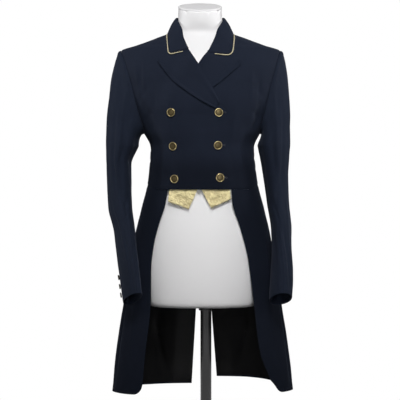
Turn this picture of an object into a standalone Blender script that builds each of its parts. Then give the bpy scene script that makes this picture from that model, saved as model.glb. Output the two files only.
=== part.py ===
"""Tailcoat on a limbless dress form: cloth panels, buttons, torso, post and base. Metres, +Z up, front faces -Y."""
import math
from bisect import bisect_right
from collections import namedtuple

import bmesh
import bpy
from mathutils import Vector

for old_object in list(bpy.data.objects):
    bpy.data.objects.remove(old_object, do_unlink=True)

# Driving sizes of the coat
CLOTH = 0.0018
LINING = 0.0010
SEAM_GAP = 0.0003
LINING_GAP = 0.0004
LAPEL_GAP = 0.0011
COLLAR_CLOTH = 0.0014
COLLAR_FOLD = 0.0040
LAYER = CLOTH + SEAM_GAP
NECKLINE_Z = 1.4345
WAIST_FRONT_Z = 1.0454
WAIST_BACK_Z = 1.0620
HEM_Z = 0.548
VENT_TOP_Z = 1.030
VENT_HALF_GAP_AT_HEM = {"right": 0.0285, "left": 0.037}
LEFT_TAIL_BACKWARD = 0.030
LEFT_TAIL_UPWARD = 0.0105
RIGHT_TAIL_DROP = 0.0040
SIDE_SEAM = 70.0
BACK_SEAM = 110.0
ARMHOLE_MIDDLE_Z = 1.2885
ARMHOLE_HALF_HEIGHT = 0.1035
ARMHOLE_HALF_ANGLE = 28.0
ARMHOLE_SQUARENESS = 2.4
OVERLAP_EDGE_X = 0.063
BREAK_Z = 1.246

# Driving sizes of the buttons
BUTTON_RADIUS = 0.0104
BUTTON_HEIGHT = 0.0042
CUFF_BUTTON_RADIUS = 0.0068
CUFF_BUTTON_HEIGHT = 0.0034
BUTTON_SIDES = 20
CUFF_BUTTON_SIDES = 12

# Driving sizes of the dress form and its stand
FORM_BOTTOM_Z = 0.755
NECK_TOP_Z = 1.4995
NECK_TILT = 0.30
CAP_HEIGHT = 0.004
POST_RADIUS = 0.0137
BASE_RADIUS = 0.170
BASE_HEIGHT = 0.014
BASE_BEVEL = 0.003
ROUND_SIDES = 48

# The body's outline at each height. Half width, depth in front of and behind the middle, corner exponents
Section = namedtuple("Section", "z half_width front back front_corner back_corner")
COAT = [
    Section(0.540, 0.2270, 0.1290, 0.1420, 1.90, 2.3),
    Section(0.660, 0.2120, 0.1180, 0.1480, 1.90, 2.3),
    Section(0.757, 0.1970, 0.1100, 0.1480, 1.90, 2.3),
    Section(0.850, 0.1840, 0.1060, 0.1460, 1.95, 2.3),
    Section(0.940, 0.1680, 0.1050, 0.1400, 2.10, 2.2),
    Section(1.000, 0.1530, 0.1055, 0.1240, 2.20, 2.2),
    Section(1.060, 0.1380, 0.1065, 0.1040, 2.30, 2.3),
    Section(1.100, 0.1330, 0.1080, 0.0960, 2.30, 2.3),
    Section(1.150, 0.1290, 0.1130, 0.0940, 2.30, 2.3),
    Section(1.190, 0.1470, 0.1190, 0.0980, 2.30, 2.3),
    Section(1.250, 0.1760, 0.1220, 0.1080, 2.30, 2.3),
    Section(1.310, 0.1920, 0.1140, 0.1130, 2.30, 2.3),
    Section(1.350, 0.2000, 0.1000, 0.1120, 2.25, 2.2),
    Section(1.375, 0.2010, 0.0860, 0.1040, 2.15, 2.1),
    Section(1.392, 0.1985, 0.0740, 0.0940, 2.10, 2.1),
    Section(1.405, 0.1620, 0.0640, 0.0850, 2.00, 2.0),
    Section(1.420, 0.1210, 0.0540, 0.0730, 2.00, 2.0),
    Section(1.4345, 0.0800, 0.0470, 0.0610, 2.00, 2.0),
]
FORM = [
    Section(0.755, 0.1240, 0.0820, 0.0960, 2.2, 2.2),
    Section(0.7575, 0.1320, 0.0890, 0.1035, 2.2, 2.2),
    Section(0.764, 0.1375, 0.0935, 0.1090, 2.2, 2.2),
    Section(0.776, 0.1400, 0.0960, 0.1120, 2.2, 2.2),
    Section(0.850, 0.1500, 0.1000, 0.1220, 2.2, 2.2),
    Section(0.910, 0.1520, 0.1000, 0.1200, 2.2, 2.2),
    Section(0.970, 0.1440, 0.0970, 0.1080, 2.2, 2.2),
    Section(1.040, 0.1270, 0.0920, 0.0900, 2.2, 2.2),
    Section(1.100, 0.1170, 0.0920, 0.0810, 2.2, 2.2),
    Section(1.150, 0.1170, 0.0980, 0.0810, 2.2, 2.2),
    Section(1.200, 0.1310, 0.1050, 0.0880, 2.2, 2.2),
    Section(1.260, 0.1480, 0.1080, 0.0960, 2.2, 2.2),
    Section(1.310, 0.1590, 0.1000, 0.1020, 2.2, 2.2),
    Section(1.350, 0.1700, 0.0860, 0.0990, 2.2, 2.2),
    Section(1.375, 0.1740, 0.0740, 0.0920, 2.1, 2.1),
    Section(1.3890, 0.1700, 0.0680, 0.0870, 2.0, 2.0),
    Section(1.4027, 0.1570, 0.0605, 0.0820, 2.0, 2.0),
    Section(1.4177, 0.1203, 0.0500, 0.0712, 2.0, 2.0),
    Section(1.4322, 0.0793, 0.0430, 0.0592, 2.0, 2.0),
    Section(1.4400, 0.0650, 0.0435, 0.0540, 2.0, 2.0),
    Section(1.4560, 0.0570, 0.0500, 0.0530, 2.0, 2.0),
    Section(1.4750, 0.0550, 0.0530, 0.0540, 2.0, 2.0),
    Section(1.4995, 0.0545, 0.0545, 0.0545, 2.0, 2.0),
]

# Edges on the chest and the skirts. x is the distance from the body's middle toward the wearer's left
EdgePoint = namedtuple("EdgePoint", "z x")
RIGHT_ROLL = [
    EdgePoint(1.2460, 0.0550), EdgePoint(1.2611, 0.0430), EdgePoint(1.2870, 0.0292), EdgePoint(1.3163, 0.0135),
    EdgePoint(1.3505, -0.0072), EdgePoint(1.3616, -0.0150), EdgePoint(1.3762, -0.0230), EdgePoint(1.3925, -0.0315),
    EdgePoint(1.4050, -0.0430), EdgePoint(1.4200, -0.0600),
    EdgePoint(1.4260, -0.0675), EdgePoint(1.4305, -0.0735), EdgePoint(1.4335, -0.0775), EdgePoint(1.4345, -0.0795),
]
LEFT_ROLL = [
    EdgePoint(1.2460, -0.0626), EdgePoint(1.2692, -0.0500), EdgePoint(1.2960, -0.0349), EdgePoint(1.3229, -0.0211),
    EdgePoint(1.3505, -0.0072), EdgePoint(1.3791, 0.0127), EdgePoint(1.3925, 0.0275), EdgePoint(1.4050, 0.0430),
    EdgePoint(1.4200, 0.0600), EdgePoint(1.4260, 0.0675), EdgePoint(1.4305, 0.0735), EdgePoint(1.4335, 0.0775),
    EdgePoint(1.4345, 0.0795),
]
RIGHT_SKIRT_EDGE = [
    EdgePoint(0.548, -0.1500), EdgePoint(0.6609, -0.1392), EdgePoint(0.7659, -0.1280), EdgePoint(0.8571, -0.1268),
    EdgePoint(0.9093, -0.1205), EdgePoint(0.9614, -0.1077), EdgePoint(1.0127, -0.0915), EdgePoint(1.0460, -0.0862),
]
LEFT_SKIRT_EDGE = [
    EdgePoint(0.548, 0.1800), EdgePoint(0.5852, 0.1640), EdgePoint(0.6519, 0.1398), EdgePoint(0.7628, 0.1258),
    EdgePoint(0.8800, 0.1105), EdgePoint(0.9548, 0.0909), EdgePoint(1.0183, 0.0714), EdgePoint(1.0460, 0.0702),
]

# Rows across the lapels, from the gorge seam to the break: the roll line and the outer edge
LapelRow = namedtuple("LapelRow", "roll_x roll_z edge_x edge_z")
RIGHT_LAPEL = [
    LapelRow(-0.0265, 1.3825, -0.1055, 1.3590),
    LapelRow(-0.0215, 1.3725, -0.0985, 1.3470),
    LapelRow(-0.0155, 1.3610, -0.0876, 1.3323),
    LapelRow(-0.0060, 1.3460, -0.0666, 1.3071),
    LapelRow(0.0040, 1.3290, -0.0436, 1.2876),
    LapelRow(0.0135, 1.3130, -0.0167, 1.2682),
    LapelRow(0.0250, 1.2920, 0.0064, 1.2546),
    LapelRow(0.0360, 1.2700, 0.0240, 1.2455),
    LapelRow(0.0430, 1.2560, 0.0330, 1.2420),
]
LEFT_LAPEL = [
    LapelRow(0.0145, 1.3760, 0.0980, 1.3585),
    LapelRow(0.0085, 1.3670, 0.0950, 1.3480),
    LapelRow(0.0010, 1.3570, 0.0795, 1.3343),
    LapelRow(-0.0060, 1.3450, 0.0578, 1.3148),
    LapelRow(-0.0150, 1.3300, 0.0264, 1.2915),
    LapelRow(-0.0260, 1.3080, -0.0035, 1.2750),
    LapelRow(-0.0390, 1.2840, -0.0280, 1.2604),
]

# Stations of the collar from the back of the neck to its front end: the fold, the neck seam, the fall's edge
CollarRow = namedtuple("CollarRow", "fold_x fold_y fold_z seam_x seam_z edge_x edge_z back")
COLLAR = [
    CollarRow(0.0000, 0.0630, 1.4760, 0.0000, 1.4345, 0.0000, 1.4265, True),
    CollarRow(0.0250, 0.0580, 1.4760, 0.0330, 1.4345, 0.0414, 1.4272, True),
    CollarRow(0.0460, 0.0420, 1.4760, 0.0590, 1.4345, 0.0687, 1.4288, True),
    CollarRow(0.0530, 0.0310, 1.4758, 0.0672, 1.4345, 0.0777, 1.4303, True),
    CollarRow(0.0580, 0.0190, 1.4750, 0.0740, 1.4345, 0.0818, 1.4320, True),
    CollarRow(0.0595, 0.0080, 1.4735, 0.0792, 1.4345, 0.0822, 1.4332, True),
    CollarRow(0.0595, -0.0040, 1.4710, 0.0790, 1.4345, 0.0808, 1.4332, False),
    CollarRow(0.0570, -0.0160, 1.4655, 0.0745, 1.4315, 0.0808, 1.4298, False),
    CollarRow(0.0530, -0.0270, 1.4580, 0.0680, 1.4270, 0.0800, 1.4220, False),
]
COLLAR_ENDS = {
    "right": [
        CollarRow(0.0450, -0.0450, 1.4400, 0.0570, 1.4165, 0.0785, 1.4070, False),
        CollarRow(0.0412, -0.0590, 1.4180, 0.0465, 1.4050, 0.0768, 1.3940, False),
        CollarRow(0.0300, -0.0785, 1.3905, 0.0320, 1.3890, 0.0755, 1.3790, False),
    ],
    "left": [
        CollarRow(0.0425, -0.0450, 1.4400, 0.0560, 1.4165, 0.0785, 1.4070, False),
        CollarRow(0.0350, -0.0590, 1.4180, 0.0430, 1.4050, 0.0768, 1.3940, False),
        CollarRow(0.0175, -0.0830, 1.3815, 0.0190, 1.3815, 0.0700, 1.3768, False),
    ],
}
NECK_SEAM_RUN = Vector((0.657, 0.0, 0.753))
COLLAR_SEAT = 0.0011
COLLAR_EDGE_GAP = 0.0015

# Sections of each sleeve below the sleeve head. Lean tips the front up, turn brings the front inward
SleeveRow = namedtuple("SleeveRow", "z out y across deep lean turn")
RIGHT_SLEEVE = [
    SleeveRow(1.155, 0.1998, 0.004, 0.0412, 0.0740, 0, 0),
    SleeveRow(1.110, 0.2088, 0.004, 0.0315, 0.0700, 3, 2),
    SleeveRow(1.055, 0.2085, 0.000, 0.0308, 0.0660, 8, 5),
    SleeveRow(1.000, 0.2050, -0.012, 0.0296, 0.0620, 14, 8),
    SleeveRow(0.944, 0.1940, -0.036, 0.0247, 0.0590, 18, 12),
    SleeveRow(0.890, 0.1865, -0.062, 0.0228, 0.0570, 20, 15),
    SleeveRow(0.842, 0.1790, -0.084, 0.0214, 0.0550, 21, 17),
    SleeveRow(0.800, 0.1735, -0.100, 0.0190, 0.0530, 21, 19),
    SleeveRow(0.780, 0.1705, -0.107, 0.0180, 0.0525, 21, 20),
]
LEFT_SLEEVE = [
    SleeveRow(1.155, 0.1797, 0.004, 0.0408, 0.0740, 0, 0),
    SleeveRow(1.110, 0.1812, 0.004, 0.0345, 0.0700, 3, 0),
    SleeveRow(1.055, 0.1845, 0.000, 0.0300, 0.0660, 7, 2),
    SleeveRow(1.000, 0.1890, -0.014, 0.0272, 0.0630, 12, 4),
    SleeveRow(0.944, 0.1945, -0.040, 0.0255, 0.0600, 16, 4),
    SleeveRow(0.890, 0.1935, -0.064, 0.0245, 0.0580, 18, 0),
    SleeveRow(0.842, 0.1915, -0.086, 0.0260, 0.0560, 19, -5),
    SleeveRow(0.800, 0.1890, -0.102, 0.0270, 0.0530, 20, -8),
    SleeveRow(0.780, 0.1880, -0.108, 0.0270, 0.0525, 20, -8),
]

# Row of those tables at which the top sleeve is parted in two bodies, above the elbow
ELBOW_ROW = 3

# Largest soft folds of the body cloth: a trough (minus) or ridge (plus) between two points of the surface
Fold = namedtuple("Fold", "angle_from z_from angle_to z_to depth width")
FOLDS = [
    Fold(52, 1.262, 60, 1.205, -0.0045, 0.014),
    Fold(-50, 1.250, -60, 1.190, -0.0030, 0.014),
    Fold(-44, 1.345, -52, 1.285, -0.0025, 0.012),
    Fold(40, 1.330, 50, 1.280, -0.0018, 0.012),
    Fold(-58, 1.140, -40, 1.215, -0.0020, 0.016),
    Fold(58, 1.140, 40, 1.205, -0.0020, 0.016),
    Fold(-150, 0.930, -146, 0.580, -0.0060, 0.022),
    Fold(150, 0.930, 147, 0.580, -0.0060, 0.022),
    Fold(-100, 0.860, -94, 0.600, 0.0040, 0.025),
    Fold(104, 0.880, 98, 0.600, 0.0040, 0.025),
]

# Buttons on the right front: distance from the body's middle and height
ButtonPlace = namedtuple("ButtonPlace", "name x z")
FRONT_BUTTONS = [
    ButtonPlace("button_top_outer", -0.0725, 1.2322),
    ButtonPlace("button_top_inner", 0.0403, 1.2315),
    ButtonPlace("button_middle_outer", -0.0689, 1.1511),
    ButtonPlace("button_middle_inner", 0.0369, 1.1533),
    ButtonPlace("button_low_outer", -0.0667, 1.0712),
    ButtonPlace("button_low_inner", 0.0410, 1.0743),
]
CUFF_BUTTON_HEIGHTS = (0.842, 0.820, 0.799)

# Vest points below the front hem: corners top right, top left, low left, low right of the wearer's view
VEST_RIGHT = ((-0.0827, 1.0530), (-0.0095, 1.0530), (-0.0349, 0.9974), (-0.0851, 1.0156))
VEST_LEFT = ((-0.0072, 1.0530), (0.0652, 1.0530), (0.0696, 1.0212), (0.0208, 1.0001))

# Heights of the rows of points: armholes, fronts, neck and tails, and the shares across a skirt
ARMHOLE_HEIGHTS = (1.2076, 1.232, 1.260, 1.290, 1.320, 1.348, 1.370, 1.385, 1.392)
FRONT_HEIGHTS = (1.0454, 1.062, 1.086, 1.110, 1.135, 1.160, 1.185) + ARMHOLE_HEIGHTS + (1.405, 1.420)
NECK_HEIGHTS = (1.426, 1.4305, 1.4335, NECKLINE_Z)
TAIL_HEIGHTS = (0.548, 0.556, 0.572, 0.600, 0.640, 0.690, 0.745, 0.800, 0.855, 0.905, 0.950, 0.990, 1.020)
SKIRT_SHARES = (0.0, 0.03, 0.07, 0.12, 0.20, 0.32, 0.45, 0.58, 0.72, 0.86, 1.0)
HEM_CORNER_RADIUS = 0.024

# Cord round the collar's front ends: distance from the body's middle and height
PIPING_WIDTH = 0.0026
PIPING = {
    "right": ((-0.0840, 1.4285), (-0.0836, 1.4150), (-0.0824, 1.4000), (-0.0814, 1.3880), (-0.0795, 1.3785),
              (-0.0735, 1.3742), (-0.0640, 1.3755), (-0.0540, 1.3778), (-0.0434, 1.3801)),
    "left": ((0.0840, 1.4285), (0.0836, 1.4150), (0.0822, 1.4000), (0.0804, 1.3880), (0.0770, 1.3785),
             (0.0695, 1.3728), (0.0590, 1.3718), (0.0460, 1.3728), (0.0335, 1.3741)),
}

Finish = namedtuple("Finish", "name colour roughness metallic")
NAVY_WOOL = Finish("navy_wool", (0.017, 0.020, 0.034), 0.80, 0.0)
BLACK_SATIN = Finish("black_satin", (0.004, 0.004, 0.0045), 0.35, 0.0)
GOLD_LEATHER = Finish("gold_leather", (0.62, 0.52, 0.27), 0.45, 0.35)
PIPING_CORD = Finish("piping_cord", (0.58, 0.52, 0.33), 0.60, 0.0)
ANTIQUE_BRASS = Finish("antique_brass", (0.36, 0.27, 0.11), 0.35, 1.0)
WHITE_FORM = Finish("white_form", (0.78, 0.78, 0.79), 0.55, 0.0)
BLACK_POST = Finish("black_post", (0.012, 0.012, 0.013), 0.25, 0.6)


def smooth_step(value):
    value = min(1.0, max(0.0, value))
    return value * value * (3 - 2 * value)


def table_value(rows, column, at, key="z"):
    """Reads a table column at a height, on a monotone cubic through its rows."""
    keys = [getattr(row, key) for row in rows]
    values = [getattr(row, column) for row in rows]
    if at <= keys[0]:
        return values[0]
    if at >= keys[-1]:
        return values[-1]
    slopes = [(values[i + 1] - values[i]) / (keys[i + 1] - keys[i]) for i in range(len(keys) - 1)]
    index = bisect_right(keys, at) - 1

    def tangent(i):
        if i == 0 or i == len(keys) - 1:
            return slopes[0] if i == 0 else slopes[-1]
        before, after = slopes[i - 1], slopes[i]
        return 0.0 if before * after <= 0 else 2 * before * after / (before + after)

    step = keys[index + 1] - keys[index]
    t = (at - keys[index]) / step
    return ((2 * t**3 - 3 * t**2 + 1) * values[index] + (t**3 - 2 * t**2 + t) * step * tangent(index)
            + (3 * t**2 - 2 * t**3) * values[index + 1] + (t**3 - t**2) * step * tangent(index + 1))


def middle_x(z):
    """The form leans a little to the wearer's right from the waist up, and stands off the post's line."""
    return -0.008 - 0.0153 * max(0.0, z - 1.06)


def section_point(table, angle, z):
    """A point of a body surface. Angle 0 is the front and 90 is the wearer's left side."""
    sine = math.sin(math.radians(angle))
    cosine = math.cos(math.radians(angle))
    half_width = table_value(table, "half_width", z)
    depth = table_value(table, "front" if cosine > 0 else "back", z)
    corner = table_value(table, "front_corner" if cosine > 0 else "back_corner", z)
    x = math.copysign(abs(sine) ** (2 / corner), sine) * half_width
    y = -math.copysign(abs(cosine) ** (2 / corner), cosine) * depth
    return Vector((middle_x(z) + x, y, z))


def tail_hang(angle, z):
    """The left tail hangs further back and its back hem is higher. The right skirt and tail hang lower."""
    low = smooth_step((0.90 - z) / 0.35)
    if angle < 0:
        return Vector((0.0, 0.0, -RIGHT_TAIL_DROP * smooth_step((-angle - 20) / 40))) * low
    return Vector((0.0, LEFT_TAIL_BACKWARD, LEFT_TAIL_UPWARD)) * (smooth_step((angle - 95) / 60) * low)


def coat_base(angle, z):
    return section_point(COAT, angle, z) + tail_hang(angle, z)


def fold_depth(angle, z):
    """Sum of the troughs and ridges that pass near a point of the coat."""
    total = 0.0
    for fold in FOLDS:
        radius = table_value(COAT, "half_width", z)
        across = math.radians(fold.angle_to - fold.angle_from) * radius
        along = fold.z_to - fold.z_from
        here_across = math.radians(angle - fold.angle_from) * radius
        here_along = z - fold.z_from
        length = math.hypot(across, along)
        t = (here_across * across + here_along * along) / length**2
        away = abs(here_across * along - here_along * across) / length
        fade = math.exp(-(away / fold.width) ** 2) * math.exp(-(max(0.0, abs(t - 0.5) - 0.3) / 0.28) ** 2)
        total += fold.depth * fade
    return total


def coat_point(angle, z, lift=0.0):
    """A point on the coat's outer surface, moved out along the surface's normal."""
    step_angle = 0.4
    step_z = 0.002
    side = coat_base(angle + step_angle, z) - coat_base(angle - step_angle, z)
    low = min(z + step_z, NECKLINE_Z) - step_z
    up = coat_base(angle, low + step_z) - coat_base(angle, low - step_z)
    normal = side.cross(up).normalized()
    return coat_base(angle, z) + normal * (lift + fold_depth(angle, z))


def angle_at(x, z):
    """The angle of the front surface at a distance from the body's middle."""
    ratio = min(0.99999, abs(x) / table_value(COAT, "half_width", z))
    corner = table_value(COAT, "front_corner", z)
    return math.copysign(math.degrees(math.asin(ratio ** (corner / 2))), x)


def armhole_spread(z):
    """Half the armhole's opening, in degrees, at a height."""
    level = min(1.0, abs(z - ARMHOLE_MIDDLE_Z) / ARMHOLE_HALF_HEIGHT)
    return ARMHOLE_HALF_ANGLE * (1 - level**ARMHOLE_SQUARENESS) ** (1 / ARMHOLE_SQUARENESS)


def armhole_bottom(angle):
    """Height of the armhole's lower edge at an angle from the front."""
    level = min(1.0, abs(abs(angle) - 90) / ARMHOLE_HALF_ANGLE)
    return ARMHOLE_MIDDLE_Z - ARMHOLE_HALF_HEIGHT * (1 - level**ARMHOLE_SQUARENESS) ** (1 / ARMHOLE_SQUARENESS)


def waist_z(angle):
    rise = smooth_step((abs(angle) - 38) / 70)
    return WAIST_FRONT_Z + (WAIST_BACK_Z - WAIST_FRONT_Z) * rise


def vent_angle(side, z):
    """Angle of a back panel's inner edge: the centre seam, and below it the open vent."""
    at_hem = VENT_HALF_GAP_AT_HEM["right" if side < 0 else "left"]
    half_gap = max(SEAM_GAP / 2, at_hem * (VENT_TOP_Z - z) / (VENT_TOP_Z - HEM_Z))
    ratio = half_gap / table_value(COAT, "half_width", z)
    return 180 - math.degrees(math.asin(ratio ** (table_value(COAT, "back_corner", z) / 2)))


def seam_inset(z):
    """Half a seam gap as an angle."""
    return math.degrees(SEAM_GAP / 2 / table_value(COAT, "half_width", z)) * 2.2


def finish_material(finish):
    material = bpy.data.materials.get(finish.name)
    if material:
        return material
    material = bpy.data.materials.new(finish.name)
    material.use_nodes = True
    shader = material.node_tree.nodes["Principled BSDF"]
    shader.inputs["Base Color"].default_value = (*finish.colour, 1.0)
    shader.inputs["Roughness"].default_value = finish.roughness
    shader.inputs["Metallic"].default_value = finish.metallic
    return material


def add_object(name, shape, finish, smooth=True):
    """Turns a bmesh into a named object with its faces outward."""
    bmesh.ops.recalc_face_normals(shape, faces=shape.faces)
    if shape.calc_volume(signed=True) < 0:
        bmesh.ops.reverse_faces(shape, faces=shape.faces)
    mesh = bpy.data.meshes.new(name)
    shape.to_mesh(mesh)
    shape.free()
    mesh.materials.append(finish_material(finish))
    for polygon in mesh.polygons:
        polygon.use_smooth = smooth
    new_object = bpy.data.objects.new(name, mesh)
    bpy.context.scene.collection.objects.link(new_object)
    return new_object


def closed_wall(name, outer_points, inner_points, finish):
    """A closed wall between two grids of points."""
    shape = bmesh.new()
    outer = [[shape.verts.new(point) for point in line] for line in outer_points]
    inner = [[shape.verts.new(point) for point in line] for line in inner_points]
    last_row = len(outer) - 1
    last_column = len(outer[0]) - 1
    for r in range(last_row):
        for c in range(last_column):
            shape.faces.new((outer[r][c], outer[r][c + 1], outer[r + 1][c + 1], outer[r + 1][c]))
            shape.faces.new((inner[r][c], inner[r + 1][c], inner[r + 1][c + 1], inner[r][c + 1]))
    for c in range(last_column):
        shape.faces.new((outer[0][c], inner[0][c], inner[0][c + 1], outer[0][c + 1]))
        shape.faces.new((outer[-1][c], outer[-1][c + 1], inner[-1][c + 1], inner[-1][c]))
    for r in range(last_row):
        shape.faces.new((outer[r][0], outer[r + 1][0], inner[r + 1][0], inner[r][0]))
        shape.faces.new((outer[r][-1], inner[r][-1], inner[r + 1][-1], outer[r + 1][-1]))
    return add_object(name, shape, finish)


def coat_wall(name, places, finish=NAVY_WOOL, thickness=CLOTH):
    """A wall on the coat's surface. Places are rows of (angle, z, lift), so panels share faces at their seams."""
    outer = [[coat_point(angle, z, lift) for angle, z, lift in line] for line in places]
    inner = [[coat_point(angle, z, lift - thickness) for angle, z, lift in line] for line in places]
    return closed_wall(name, outer, inner, finish)


def panel_outer_angle(z, seam):
    """Where a front (seam 70) or back (seam 110) panel ends at the side: side seam, armhole, shoulder seam."""
    away = math.copysign(1, seam - 90)
    if z < ARMHOLE_HEIGHTS[0]:
        return seam + away * seam_inset(z)
    return 90 + away * max(armhole_spread(z), seam_inset(z) * 8)


def overlap_lift(x, z):
    """The right front rises over the left front and, above the break, over the left lapel too."""
    edge = table_value(LEFT_ROLL, "x", z) if z > BREAK_Z else -OVERLAP_EDGE_X
    over = smooth_step((x - edge + 0.062) / 0.046)
    height = LAYER + LAYER * smooth_step((z - BREAK_Z + 0.022) / 0.022) + LAPEL_GAP * 2
    fade = smooth_step((1.385 - z) / 0.03)
    return height * over * fade


def front_edge_x(side, z):
    """Inner edge of a front: the overlap edge, and above the break the roll line."""
    if side < 0:
        return table_value(RIGHT_ROLL, "x", z) if z > BREAK_Z else OVERLAP_EDGE_X
    return table_value(LEFT_ROLL, "x", z) if z > BREAK_Z else -OVERLAP_EDGE_X


def hem_shift(z, low_z, target):
    """Moves the lowest rows of a panel so that its lower edge follows a seam line."""
    return (target - low_z) * max(0.0, 1 - (z - low_z) / 0.09)


def build_front(side):
    name = "front_right" if side < 0 else "front_left"
    columns = 11
    places = []
    for z in FRONT_HEIGHTS + NECK_HEIGHTS:
        inner = angle_at(front_edge_x(side, z), z)
        outer = side * panel_outer_angle(z, SIDE_SEAM)
        line = []
        for column in range(columns):
            t = column / (columns - 1)
            angle = outer + (inner - outer) * t if side < 0 else inner + (outer - inner) * t
            height = z + hem_shift(z, FRONT_HEIGHTS[0], waist_z(angle) + SEAM_GAP * 0.8)
            x = coat_base(angle, height).x - middle_x(height)
            line.append((angle, height, overlap_lift(x, height) if side < 0 else 0.0))
        places.append(line)
    coat_wall(name, places)


def build_side(side):
    name = "side_right" if side < 0 else "side_left"
    columns = 7
    seam_top = ARMHOLE_HEIGHTS[0]
    places = []
    for z in FRONT_HEIGHTS[:FRONT_HEIGHTS.index(seam_top) + 1]:
        line = []
        for column in range(columns):
            angle = SIDE_SEAM + (BACK_SEAM - SIDE_SEAM) * column / (columns - 1)
            low = waist_z(angle) + SEAM_GAP * 0.8
            seam_z = z + hem_shift(z, FRONT_HEIGHTS[0], low)
            height = low + (seam_z - low) * (armhole_bottom(angle) - low) / (seam_top - low)
            inset = seam_inset(height)
            line.append((side * min(BACK_SEAM - inset, max(SIDE_SEAM + inset, angle)), height, 0.0))
        places.append(line if side > 0 else line[::-1])
    coat_wall(name, places)


def back_line(side, z):
    """Angles across a back panel, from its side seam to the centre seam or vent."""
    columns = 11
    outer = panel_outer_angle(z, BACK_SEAM)
    inner = vent_angle(side, z)
    return [outer + (inner - outer) * c / (columns - 1) for c in range(columns)]


def build_back(side):
    """A back panel and the tail below it, parted near the waist though the cloth is cut in one."""
    label = "right" if side < 0 else "left"
    parting = TAIL_HEIGHTS[-1]
    tail_heights = TAIL_HEIGHTS[:-1] + (parting - SEAM_GAP / 2,)
    back_heights = (parting + SEAM_GAP / 2,) + FRONT_HEIGHTS[1:] + NECK_HEIGHTS[-1:]
    for name, heights in (("tail_", tail_heights), ("back_", back_heights)):
        places = []
        for z in heights:
            line = [(side * angle, z, 0.0) for angle in back_line(side, z)]
            places.append(line if side > 0 else line[::-1])
        coat_wall(name + label, places)


def skirt_angle(side, z):
    table = RIGHT_SKIRT_EDGE if side < 0 else LEFT_SKIRT_EDGE
    return abs(angle_at(table_value(table, "x", z), z))


def corner_rise(distance, radius):
    """Height of a rounded hem corner at a distance from the vertical edge."""
    inside = max(0.0, 1 - distance / radius)
    return radius * (1 - math.sqrt(max(0.0, 1 - inside * inside)))


def skirt_line(side, z):
    """Angles across a skirt, from its front edge to the seam beside the back."""
    front = skirt_angle(side, z)
    back = BACK_SEAM - seam_inset(z)
    return [front + (back - front) * share for share in SKIRT_SHARES]


def build_skirt(side):
    name = "skirt_right" if side < 0 else "skirt_left"
    top_z = WAIST_FRONT_Z
    places = []
    for z in TAIL_HEIGHTS + (top_z,):
        angles = skirt_line(side, z)
        edge = coat_base(side * angles[0], z)
        line = []
        for angle in angles:
            distance = (coat_base(side * angle, z) - edge).length
            fade = max(0.0, 1 - (z - HEM_Z) / 0.03)
            height = z + corner_rise(distance, HEM_CORNER_RADIUS) * fade
            if z == top_z:
                height = waist_z(angle) - SEAM_GAP * 0.8
            line.append((side * angle, height, 0.0))
        places.append(line if side > 0 else line[::-1])
    coat_wall(name, places)


def build_lining(side):
    """Satin lining of a tail, from behind the front edge round to the vent, on the panels' own columns."""
    name = "tail_lining_right" if side < 0 else "tail_lining_left"
    places = []
    for z in TAIL_HEIGHTS[2:-2]:
        angles = skirt_line(side, z)[3:-1] + [BACK_SEAM] + back_line(side, z)[1:]
        angles[-1] = angles[-2] + (angles[-1] - angles[-2]) * 0.6
        line = [(side * angle, z, -(CLOTH + LINING_GAP)) for angle in angles]
        places.append(line if side > 0 else line[::-1])
    coat_wall(name, places, BLACK_SATIN, LINING)


def build_lapel(side):
    name = "lapel_right" if side < 0 else "lapel_left"
    rows = RIGHT_LAPEL if side < 0 else LEFT_LAPEL
    columns = 8
    places = []
    for row in rows[::-1]:
        line = []
        for column in range(columns):
            t = column / (columns - 1)
            x = row.roll_x + (row.edge_x - row.roll_x) * t
            z = row.roll_z + (row.edge_z - row.roll_z) * t
            lift = LAYER + LAPEL_GAP + (overlap_lift(x, z) if side < 0 else 0.0)
            line.append((angle_at(x, z), z, lift))
        places.append(line if side > 0 else line[::-1])
    coat_wall(name, places)


def collar_station(row, side):
    """Outer and inner points of the folded collar at one station, from the fall's edge over to the neck seam."""
    up = Vector((0, 0, 1))
    fold = Vector((middle_x(row.fold_z) + side * row.fold_x, row.fold_y, row.fold_z))
    if row.back:
        seam_angle = 180 - math.degrees(math.asin(row.seam_x / COAT[-1].half_width))
        edge_angle = 180 - math.degrees(math.asin(row.edge_x / table_value(COAT, "half_width", row.edge_z)))
        run = up * COLLAR_SEAT
    else:
        seam_angle = angle_at(row.seam_x, row.seam_z)
        edge_angle = angle_at(row.edge_x, row.edge_z)
        run = Vector((-side * NECK_SEAM_RUN.x, 0, NECK_SEAM_RUN.z)) * COLLAR_SEAT * 3
    edge_in = coat_point(side * edge_angle, row.edge_z, COLLAR_EDGE_GAP)
    edge_out = coat_point(side * edge_angle, row.edge_z, COLLAR_EDGE_GAP + COLLAR_CLOTH)
    away = edge_out - fold
    away.z = 0
    away.normalize()
    wall = away * COLLAR_CLOTH
    foot = coat_point(side * seam_angle, row.seam_z) + run - wall * 0.7
    stand = foot.lerp(fold, 0.5) + away * 0.0020
    crest = fold + away * COLLAR_FOLD * 0.6 + up * 0.0012
    fall = (fold + away * COLLAR_FOLD).lerp(edge_out, 0.4) + away * 0.0016
    outer = (edge_out, fall, crest, fold, stand, foot)
    inner = (edge_in, fall - wall, crest - up * COLLAR_CLOTH, fold + wall - up * 0.0008, stand + wall, foot + wall)
    return outer, inner


def build_collar():
    """One folded wall round the neck, worked out station by station."""
    stations = [(row, -1) for row in COLLAR_ENDS["right"][::-1] + COLLAR[:0:-1]]
    stations += [(row, 1) for row in COLLAR + COLLAR_ENDS["left"]]
    columns = [collar_station(row, side) for row, side in stations]
    outer = list(zip(*[points[0] for points in columns]))
    inner = list(zip(*[points[1] for points in columns]))
    closed_wall("collar", outer, inner, NAVY_WOOL)


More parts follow.
